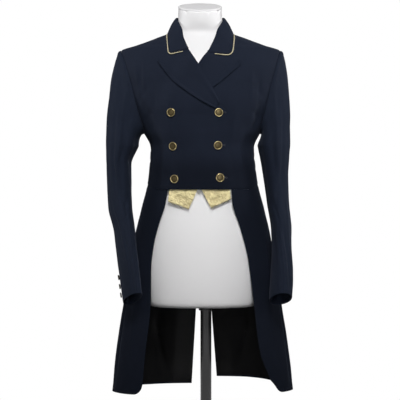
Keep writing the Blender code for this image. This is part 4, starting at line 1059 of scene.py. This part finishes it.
piping = Finish("piping_cord", (0.58, 0.52, 0.33), {"Roughness": 0.55, "Sheen Weight": 0.2})
piping_strands_and_groove_shade = piping.twist(PIPING_PITCH, PIPING_PLY)
# Painted shade: the grooves between the strands are painted dark brown
piping.feed("Base Color", piping.mix(piping_strands_and_groove_shade, (0.30, 0.25, 0.13), (0.66, 0.60, 0.40)))
piping.bump(piping_strands_and_groove_shade, 0.0004, 0.8)


def tube(name, path, radius, sides):
    """A closed tube along a path of points, with a UV map in metres."""
    path = np.asarray(path, float)
    ahead = np.gradient(path, axis=0)
    ahead /= np.linalg.norm(ahead, axis=1, keepdims=True)
    helper = np.array([0.0, -1.0, 0.0])
    across = np.cross(ahead, helper)
    across /= np.linalg.norm(across, axis=1, keepdims=True)
    out = np.cross(across, ahead)
    turn = np.linspace(0, 2 * math.pi, sides, endpoint=False)
    ring = across[:, None] * np.cos(turn)[None, :, None] + out[:, None] * np.sin(turn)[None, :, None]
    points = path[:, None] + ring * radius
    rows = len(path)
    faces = []
    for r in range(rows - 1):
        for s in range(sides):
            t = (s + 1) % sides
            faces.append((r * sides + s, r * sides + t, (r + 1) * sides + t, (r + 1) * sides + s))
    faces.append(tuple(range(sides))[::-1])
    faces.append(tuple((rows - 1) * sides + s for s in range(sides)))
    mesh = bpy.data.meshes.new(name)
    mesh.from_pydata(points.reshape(-1, 3).tolist(), [], faces)
    reach = np.concatenate([[0.0], np.cumsum(np.linalg.norm(np.diff(path, axis=0), axis=1))])
    uv_map = mesh.uv_layers.new(name="cloth")
    for polygon in mesh.polygons:
        ring_corners = [mesh.loops[i].vertex_index for i in polygon.loop_indices]
        wraps = {corner % sides for corner in ring_corners} == {0, sides - 1}
        for i in polygon.loop_indices:
            corner = mesh.loops[i].vertex_index
            step = sides if wraps and corner % sides == 0 else corner % sides
            uv_map.data[i].uv = (reach[corner // sides], 2 * math.pi * radius * step / sides)
    piece = bpy.data.objects.new(name, mesh)
    bpy.context.scene.collection.objects.link(piece)
    settle(piece, name)
    bpy.ops.object.shade_smooth_by_angle(angle=math.radians(60))
    return piece


for side, label in SIDES:
    line = refine(np.array(PIPING[label]), 8, 0)
    along = np.gradient(line, axis=0)
    along /= np.linalg.norm(along, axis=1, keepdims=True)
    line = line + np.stack([-along[:, 1], along[:, 0]], axis=1) * -side * PIPING_RADIUS
    path = coat_points(angle_at(line[:, 0], line[:, 1]), line[:, 1], LAYER + LAPEL_GAP - PIPING_SINK)[0]
    cord = tube("piping_" + label, path, PIPING_RADIUS, PIPING_SIDES)
    finish_piece(cord, piping, "piping_cord", "collar_piping_" + label)


# Sleeves. Cut in two pieces, a top sleeve outside and an under sleeve inside, and set into the armhole with a little
# fullness at the head. They hang empty, bend forward at the elbow and flatten toward the cuff.
TOP_SLEEVE_CUT = (0.250, 0.640)
TOP_SLEEVE_CUT_AREA = 0.115
UNDER_SLEEVE_CUT = (0.130, 0.520)
UNDER_SLEEVE_CUT_AREA = 0.051
FRONT_SLEEVE_SEAM = 137.6
BACK_SLEEVE_SEAM = -105.7
SLEEVE_HEAD_ROLL = 0.0016
TOP_SLEEVE_COLUMNS = 76
UNDER_SLEEVE_COLUMNS = 38
SLEEVE_HEAD_ROWS = 44
SLEEVE_ARM_ROWS = 84
# height, distance out, forward place, half across, half deep, lean, turn
RIGHT_SLEEVE = (
    (0.780, 0.1705, -0.107, 0.0180, 0.0525, 21, 20), (0.800, 0.1735, -0.100, 0.0190, 0.0530, 21, 19),
    (0.842, 0.1790, -0.084, 0.0214, 0.0550, 21, 17), (0.890, 0.1865, -0.062, 0.0228, 0.0570, 20, 15),
    (0.944, 0.1940, -0.036, 0.0247, 0.0590, 18, 12), (1.000, 0.2050, -0.012, 0.0296, 0.0620, 14, 8),
    (1.055, 0.2085, 0.000, 0.0308, 0.0660, 8, 5), (1.110, 0.2088, 0.004, 0.0315, 0.0700, 3, 2),
    (1.155, 0.1998, 0.004, 0.0412, 0.0740, 0, 0),
)
LEFT_SLEEVE = (
    (0.780, 0.1880, -0.108, 0.0270, 0.0525, 20, -8), (0.800, 0.1890, -0.102, 0.0270, 0.0530, 20, -8),
    (0.842, 0.1915, -0.086, 0.0260, 0.0560, 19, -5), (0.890, 0.1935, -0.064, 0.0245, 0.0580, 18, 0),
    (0.944, 0.1945, -0.040, 0.0255, 0.0600, 16, 4), (1.000, 0.1890, -0.014, 0.0272, 0.0630, 12, 4),
    (1.055, 0.1845, 0.000, 0.0300, 0.0660, 7, 2), (1.110, 0.1812, 0.004, 0.0345, 0.0700, 3, 0),
    (1.155, 0.1797, 0.004, 0.0408, 0.0740, 0, 0),
)
# Creases of each sleeve from one (turn, height) to another. Turn 0 is the outer side and 90 the front
RIGHT_SLEEVE_CREASES = (
    (60, 1.330, 96, 1.180, -0.0040, 0.012),
    (20, 1.340, 40, 1.200, 0.0022, 0.014),
    (110, 1.250, 100, 1.080, -0.0035, 0.012),
    (-30, 1.320, -50, 1.150, -0.0030, 0.014),
    (70, 1.080, 110, 0.985, -0.0028, 0.009),
    (120, 1.030, 84, 0.960, -0.0030, 0.008),
    (40, 1.060, 10, 0.960, 0.0020, 0.012),
    (-70, 1.120, -84, 0.960, -0.0024, 0.014),
    (96, 0.940, 78, 0.800, 0.0020, 0.008),
    (58, 0.930, 62, 0.800, -0.0022, 0.009),
    (-20, 0.960, -10, 0.820, -0.0016, 0.012),
    (150, 1.180, 170, 1.000, -0.0030, 0.012),
    (-120, 1.280, -100, 1.140, -0.0035, 0.012),
    (35, 1.300, 30, 1.060, 0.0030, 0.006),
    (62, 1.240, 66, 1.060, -0.0030, 0.006),
    (84, 1.300, 88, 1.120, 0.0026, 0.006),
    (12, 1.180, 8, 0.980, -0.0024, 0.007),
    (112, 0.930, 104, 0.795, 0.0026, 0.005),
    (46, 1.010, 52, 0.860, 0.0022, 0.006),
)
LEFT_SLEEVE_CREASES = (
    (56, 1.335, 92, 1.190, -0.0036, 0.012),
    (18, 1.345, 34, 1.210, 0.0020, 0.014),
    (112, 1.240, 98, 1.090, -0.0035, 0.012),
    (-34, 1.310, -48, 1.160, -0.0028, 0.014),
    (66, 1.090, 104, 1.000, -0.0030, 0.010),
    (124, 1.020, 92, 0.950, -0.0028, 0.008),
    (36, 1.070, 14, 0.970, 0.0018, 0.012),
    (-66, 1.110, -80, 0.970, -0.0022, 0.014),
    (74, 0.950, 60, 0.820, -0.0035, 0.008),
    (98, 0.960, 96, 0.790, 0.0022, 0.007),
    (36, 0.900, 28, 0.800, 0.0018, 0.010),
    (-24, 0.950, -14, 0.830, -0.0014, 0.012),
    (152, 1.170, 168, 1.010, -0.0030, 0.012),
    (-118, 1.270, -102, 1.150, -0.0032, 0.012),
    (32, 1.290, 30, 1.080, 0.0028, 0.006),
    (58, 1.250, 64, 1.070, -0.0030, 0.006),
    (86, 1.290, 84, 1.110, 0.0026, 0.006),
    (14, 1.170, 10, 0.990, -0.0022, 0.007),
    (116, 0.945, 108, 0.790, 0.0026, 0.005),
    (44, 1.020, 50, 0.900, 0.0020, 0.006),
)


def sleeve_section(rows, side, turn, z):
    """Points of the sleeve's sections below its head."""
    out = read_table(rows, z, 3) * np.cos(turn)
    front = read_table(rows, z, 4) * np.sin(turn)
    lean = np.radians(read_table(rows, z, 5))
    yaw = np.radians(read_table(rows, z, 6))
    away = out * np.cos(yaw) - front * np.sin(yaw)
    ahead = front * np.cos(yaw) + out * np.sin(yaw)
    return np.stack([middle_x(z) + side * (read_table(rows, z, 1) + away),
                     read_table(rows, z, 2) - ahead * np.cos(lean), z + ahead * np.sin(lean)], axis=-1)


def sleeve_surface(side, turn, head_rows, arm_rows):
    """A ring-closed grid of points and normals from the armhole to the cuff. Columns go round the sleeve."""
    rows = RIGHT_SLEEVE if side < 0 else LEFT_SLEEVE
    creases = RIGHT_SLEEVE_CREASES if side < 0 else LEFT_SLEEVE_CREASES
    size = (np.abs(np.sin(turn)) ** ARMHOLE_SQUARENESS + np.abs(np.cos(turn)) ** ARMHOLE_SQUARENESS) ** (
        -1 / ARMHOLE_SQUARENESS)
    ring_angle = 90 - ARMHOLE_HALF_ANGLE * size * np.sin(turn)
    ring_z = ARMHOLE_MIDDLE_Z + ARMHOLE_HALF_HEIGHT * size * np.cos(turn)
    start = coat_points(side * ring_angle, ring_z)[0] + np.array([side * 0.0005, 0, 0])
    top_z = rows[-1][0]
    first = sleeve_section(rows, side, turn, np.full(turn.shape, top_z))
    reach = np.linalg.norm(first - start, axis=1, keepdims=True)
    leave = np.array([side * 1.0, 0.0, 0.12]) * (0.026 + 0.12 * reach)
    arrive = np.array([0.0, 0.0, -1.0]) * reach
    grid = []
    for t in np.linspace(0, 1, head_rows, endpoint=False) ** 1.15:
        grid.append(start * (2 * t**3 - 3 * t**2 + 1) + leave * (t**3 - 2 * t**2 + t)
                    + first * (3 * t**2 - 2 * t**3) + arrive * (t**3 - t**2))
    for z in np.linspace(top_z, rows[0][0], arm_rows):
        grid.append(sleeve_section(rows, side, turn, np.full(turn.shape, z)))
    grid = np.array(grid)
    around = np.roll(grid, -1, axis=1) - np.roll(grid, 1, axis=1)
    down = np.gradient(grid, axis=0)
    normal = side * np.cross(around, down)
    normal /= np.linalg.norm(normal, axis=2, keepdims=True)
    turn_degrees = np.degrees(np.broadcast_to(turn, grid.shape[:2]))
    from_head = np.linalg.norm(grid - grid[:1], axis=2)
    fade = smooth_step(from_head / 0.030)
    depth = crease_sum(creases, turn_degrees, grid[..., 2], 0.052) * fade + unevenness(grid) * 1.2 * fade
    upper = smooth_step((np.cos(turn) + 0.35) / 0.8)
    depth = depth + SLEEVE_HEAD_ROLL * np.exp(-((from_head - 0.007) / 0.006) ** 2) * upper
    return grid + normal * depth[..., None], normal


sleeve_wool = Finish("navy_wool_sleeves", (0.017, 0.020, 0.034), {
    "Roughness": 0.82, "Specular IOR Level": 0.04, "Sheen Weight": 0.06, "Sheen Roughness": 0.40,
    "Sheen Tint": (0.55, 0.62, 0.85, 1.0)})
# The sleeves take only 5 per cent painted shade toward their lower part
weave_wool(sleeve_wool, (0.0165, 0.0220, 0.0375), (0.0098, 0.0130, 0.0222), 0.05)

for side, label in SIDES:
    top_turns = np.linspace(BACK_SLEEVE_SEAM, FRONT_SLEEVE_SEAM, TOP_SLEEVE_COLUMNS)
    under_turns = np.linspace(FRONT_SLEEVE_SEAM, BACK_SLEEVE_SEAM + 360, UNDER_SLEEVE_COLUMNS)
    turns = np.radians(np.concatenate([top_turns, under_turns[1:-1] - 360 * (under_turns[1:-1] > 180)]))
    points, normals = sleeve_surface(side, turns, SLEEVE_HEAD_ROWS, SLEEVE_ARM_ROWS)
    inner_points = points - normals * CLOTH
    last = len(top_turns) - 1
    order_top = np.arange(0, last + 1)
    order_under = np.concatenate([np.arange(last, len(turns)), [0]])
    for name, order, cut, cut_area in (("top_sleeve_", order_top, TOP_SLEEVE_CUT, TOP_SLEEVE_CUT_AREA),
                                       ("under_sleeve_", order_under, UNDER_SLEEVE_CUT, UNDER_SLEEVE_CUT_AREA)):
        walls = []
        for wall in (points[::-1][:, order], inner_points[::-1][:, order]):
            wall = wall.copy()
            for end, beside in ((0, 1), (-1, -2)):
                away = wall[:, beside] - wall[:, end]
                length = np.linalg.norm(away, axis=1, keepdims=True)
                wall[:, end] += away / length * np.minimum(SEWN_GAP / 2, length * 0.3)
            walls.append(wall[:, ::-1] if side > 0 else wall)
        sleeve = closed_wall(name + "cloth_" + label, walls[0], walls[1])
        nodes = [name + label] if name == "under_sleeve_" else [name + label, name + "low_" + label]
        finish_piece(sleeve, sleeve_wool, "navy_wool", *nodes)


# Vest points. Two small pieces of gold metallic leather that stick out below the front hem, as a waistcoat would.
# Their top edges are sewn under the fronts, and a narrow band along their lower edges is darker.
VEST_LEATHER = 0.0014
VEST_BEHIND = 0.0006
VEST_COLUMNS = 30
VEST_ROWS = 26
# corners: top edge's two ends, then the lower edge's two ends the other way
VEST_POINTS = (
    ("right", (-0.0827, 1.0530), (-0.0095, 1.0530), (-0.0349, 0.9974), (-0.0851, 1.0156)),
    ("left", (-0.0072, 1.0530), (0.0652, 1.0530), (0.0696, 1.0212), (0.0208, 1.0001)),
)

gold = Finish("gold_leather", (0.62, 0.52, 0.27), {"Metallic": 0.12, "Roughness": 0.42, "Specular IOR Level": 0.5})
gold_place = gold.place()
gold_cells = gold.node("ShaderNodeTexVoronoi", {"feature": "DISTANCE_TO_EDGE"}, {"Vector": gold_place, "Scale": 620.0})
gold_mottle = gold.speckle(gold_place, 210.0, 5.0, 0.65)
gold_slow = gold.speckle(gold_place, 40.0, 2.0)
gold_wrinkle_and_highlight = gold.ramp(gold.speckle(gold_place, 62.0, 3.0, 0.55), (0.38, 0.0), (0.48, 0.45), (0.58, 1.0))
gold_edge = gold.ramp(gold.part(1), (0.0, 1.0), (0.0016, 0.9), (0.0030, 0.0))
gold_tone = gold.mix(gold_mottle, (0.46, 0.36, 0.14), (0.92, 0.80, 0.46))
gold_tone = gold.mix(gold_slow * 0.4, gold_tone, (0.60, 0.50, 0.26))
# Painted highlight: the raised wrinkles are painted pale gold, as light catching them
gold_tone = gold.mix(gold_wrinkle_and_highlight * 0.65, gold_tone, (0.96, 0.85, 0.46))
gold.feed("Base Color", gold.mix(gold_edge * 0.8, gold_tone, (0.055, 0.045, 0.030)))
gold.feed("Roughness", 0.30 + gold_mottle * 0.24)
gold.bump(gold_cells * 0.3 + gold_mottle * 0.2 + gold_wrinkle_and_highlight * 1.0, 0.0030, 0.8)

for label, top_start, top_end, low_end, low_start in VEST_POINTS:
    shares = np.linspace(0.0, 1.0, VEST_COLUMNS)
    rise = np.linspace(0.0, 1.0, VEST_ROWS)[:, None]
    low_x = low_start[0] + (low_end[0] - low_start[0]) * shares
    low_z = low_start[1] + (low_end[1] - low_start[1]) * shares
    high_x = top_start[0] + (top_end[0] - top_start[0]) * shares
    x = low_x + (high_x - low_x) * rise
    z = low_z + (top_start[1] - low_z) * rise
    curl = 0.0009 * np.sin(shares * 5.0 + 0.6) * (1 - rise)
    vest_point = coat_panel("vest_leather_" + label, angle_at(x, z), z, -(CLOTH + VEST_BEHIND) + curl, VEST_LEATHER)
    finish_piece(vest_point, gold, "gold_leather", "vest_point_" + label)


# Buttonholes. Hand-worked navy silk round the three slits that the inner buttons come through, keyhole end outward.
# Each is a flat twisted cord, couched on the right front and partly under its button.
HOLE_CORD_RADIUS = 0.00045
HOLE_HALF_LENGTH = 0.0095
HOLE_HALF_WIDTH = 0.0009
HOLE_EYE_RADIUS = 0.0017
SILK_PITCH = 0.0007
SILK_PLY = 0.0014
# the middle of each slit
BUTTONHOLES = (("top", 0.0470, 1.2315), ("middle", 0.0440, 1.1533), ("low", 0.0475, 1.0743))

silk = Finish("navy_silk_twist", (0.010, 0.012, 0.022), {"Roughness": 0.5, "Sheen Weight": 0.15})
silk_strands_and_groove_shade = silk.twist(SILK_PITCH, SILK_PLY)
# Painted shade: the grooves between the strands are painted darker navy
silk.feed("Base Color", silk.mix(silk_strands_and_groove_shade, (0.0050, 0.0058, 0.0100), (0.0150, 0.0180, 0.0320)))
silk.bump(silk_strands_and_groove_shade, 0.0002, 0.8)

for hole_name, hole_x, hole_z in BUTTONHOLES:
    straight = np.linspace(-HOLE_HALF_LENGTH, HOLE_HALF_LENGTH - HOLE_EYE_RADIUS, 14)
    eye_turn = np.radians(np.linspace(145, -145, 13))
    eye_x = HOLE_HALF_LENGTH + HOLE_EYE_RADIUS * (np.cos(eye_turn) - 0.2)
    along = np.concatenate([straight, eye_x, straight[::-1]])
    across = np.concatenate([np.full(14, HOLE_HALF_WIDTH), HOLE_EYE_RADIUS * np.sin(eye_turn),
                             np.full(14, -HOLE_HALF_WIDTH)])
    hole_at_x, hole_at_z = hole_x + along, hole_z + across
    slit = coat_points(angle_at(hole_at_x, hole_at_z), hole_at_z,
                       overlap_lift(hole_at_x, hole_at_z) + HOLE_CORD_RADIUS * 0.4)[0]
    hole = tube("buttonhole_" + hole_name, slit, HOLE_CORD_RADIUS, 8)
    finish_piece(hole, silk, "navy_wool")


# Buttons. Stamped brass shells with a raised rim, a sunk ring and a low plain dome, aged dark with rims worn bright.
# The six front ones are sewn on by shanks, and three small ones of the same make close each cuff, painted dark as
# shade.
BUTTON_RADIUS = 0.0104
BUTTON_HEIGHT = 0.0042
CUFF_BUTTON_RADIUS = 0.0068
CUFF_BUTTON_HEIGHT = 0.0034
FRONT_BUTTONS = (
    ("top_outer", -0.0725, 1.2322), ("top_inner", 0.0403, 1.2315), ("middle_outer", -0.0689, 1.1511),
    ("middle_inner", 0.0369, 1.1533), ("low_outer", -0.0667, 1.0712), ("low_inner", 0.0410, 1.0743),
)
CUFF_BUTTON_HEIGHTS = (0.842, 0.820, 0.799)
# rings of the face from the rim inward: width as a share of the radius, rise as a share of the height
BUTTON_RINGS = ((0.10, 0.06), (0.06, -0.14), (0.14, 0.06), (0.22, 0.13), (0.24, 0.04))
CUFF_BUTTON_TURN = math.radians(-48)
FRONT_BUTTON_SEAT = 0.0005
CUFF_BUTTON_SEAT = 0.0008

def aged_brass(name, rim_rub_and_shade):
    """Brass that is stained dark in its hollows, with its rim in the tone given: worn bright on the front buttons,
    painted dark as shade on the cuff ones.
    """
    brass = Finish(name, (0.36, 0.27, 0.11), {"Metallic": 0.8, "Roughness": 0.36})
    stain = brass.speckle(brass.place(), 520.0, 5.0, 0.7)
    rim = brass.ramp(brass.part(), (0.0, 0.16), (0.44, 0.12), (0.62, 0.0), (0.76, 0.04), (0.85, 1.0), (1.0, 0.90))
    old = brass.mix(stain, (0.026, 0.019, 0.008), (0.100, 0.072, 0.030))
    brass.feed("Base Color", brass.mix(rim, old, rim_rub_and_shade))
    brass.feed("Roughness", 0.44 - rim * 0.18 + stain * 0.10)
    brass.bump(stain, 0.00008, 0.6)
    return brass


front_brass = aged_brass("antique_brass", (0.50, 0.41, 0.20))
# Painted shade: the cuff buttons' rims get a dark tone in place of worn-bright brass, as the shade they sit in
cuff_brass_painted_shade = aged_brass("antique_brass_cuffs_painted_shade", (0.070, 0.062, 0.050))


def button_shell(radius, height, sides):
    """One button at the origin, its face toward +Z, with its radius from 0 to 1 as the map's first value."""
    shell = add_cylinder(sides, radius * 0.80, 0.0, height * 0.20)
    select_faces(shell, faces_up)
    extrude_top(height * 0.28, 1.25)
    extrude_top(height * 0.34, 0.95)
    for width, rise in BUTTON_RINGS:
        inset_top(radius * width, height * rise)
    settle(shell, "button_shell")
    add_bevel(shell, radius * 0.025, 2, 18.0)
    uv_map = shell.data.uv_layers.active
    for loop in shell.data.loops:
        corner = shell.data.vertices[loop.vertex_index].co
        uv_map.data[loop.index].uv = (math.hypot(corner.x, corner.y) / radius, corner.z / height)
    return shell


def sew_on(shell, name, seat, outward, node, finish):
    """Places a copy of a button with its back at the seat and its face outward."""
    copied = bpy.data.objects.new(name, shell.data.copy())
    copied.data.name = name
    bpy.context.scene.collection.objects.link(copied)
    turn = Vector((0, 0, 1)).rotation_difference(Vector(outward)).to_matrix().to_4x4()
    turn.translation = Vector(seat)
    copied.data.transform(turn)
    finish_piece(copied, finish, "antique_brass", node)


front_shell = button_shell(BUTTON_RADIUS, BUTTON_HEIGHT, 64)
for place_name, x, z in FRONT_BUTTONS:
    lift = overlap_lift(np.float64(x), np.float64(z)) + (0.0003 if place_name.endswith("outer") else 0.0)
    seat, outward = coat_points(angle_at(x, z), z, lift)
    sew_on(front_shell, "front_button_" + place_name, seat + outward * FRONT_BUTTON_SEAT, outward,
           "button_" + place_name, front_brass)

cuff_shell = button_shell(CUFF_BUTTON_RADIUS, CUFF_BUTTON_HEIGHT, 40)
for side, label in SIDES:
    rows = RIGHT_SLEEVE if side < 0 else LEFT_SLEEVE
    for number, z in enumerate(CUFF_BUTTON_HEIGHTS, 1):
        middle = sleeve_section(rows, side, CUFF_BUTTON_TURN, z)
        beside = (sleeve_section(rows, side, CUFF_BUTTON_TURN + 0.05, z)
                  - sleeve_section(rows, side, CUFF_BUTTON_TURN - 0.05, z))
        below = (sleeve_section(rows, side, CUFF_BUTTON_TURN, z - 0.01)
                 - sleeve_section(rows, side, CUFF_BUTTON_TURN, z + 0.01))
        outward = np.cross(beside, below)
        outward /= np.linalg.norm(outward)
        outward *= math.copysign(1.0, outward[0] * side)
        sew_on(cuff_shell, "cuff_stud_%s_%d" % (label, number), middle + outward * CUFF_BUTTON_SEAT, outward,
               "cuff_button_%s_%d" % (label, number), cuff_brass_painted_shade)
for shell in (front_shell, cuff_shell):
    bpy.data.objects.remove(shell)
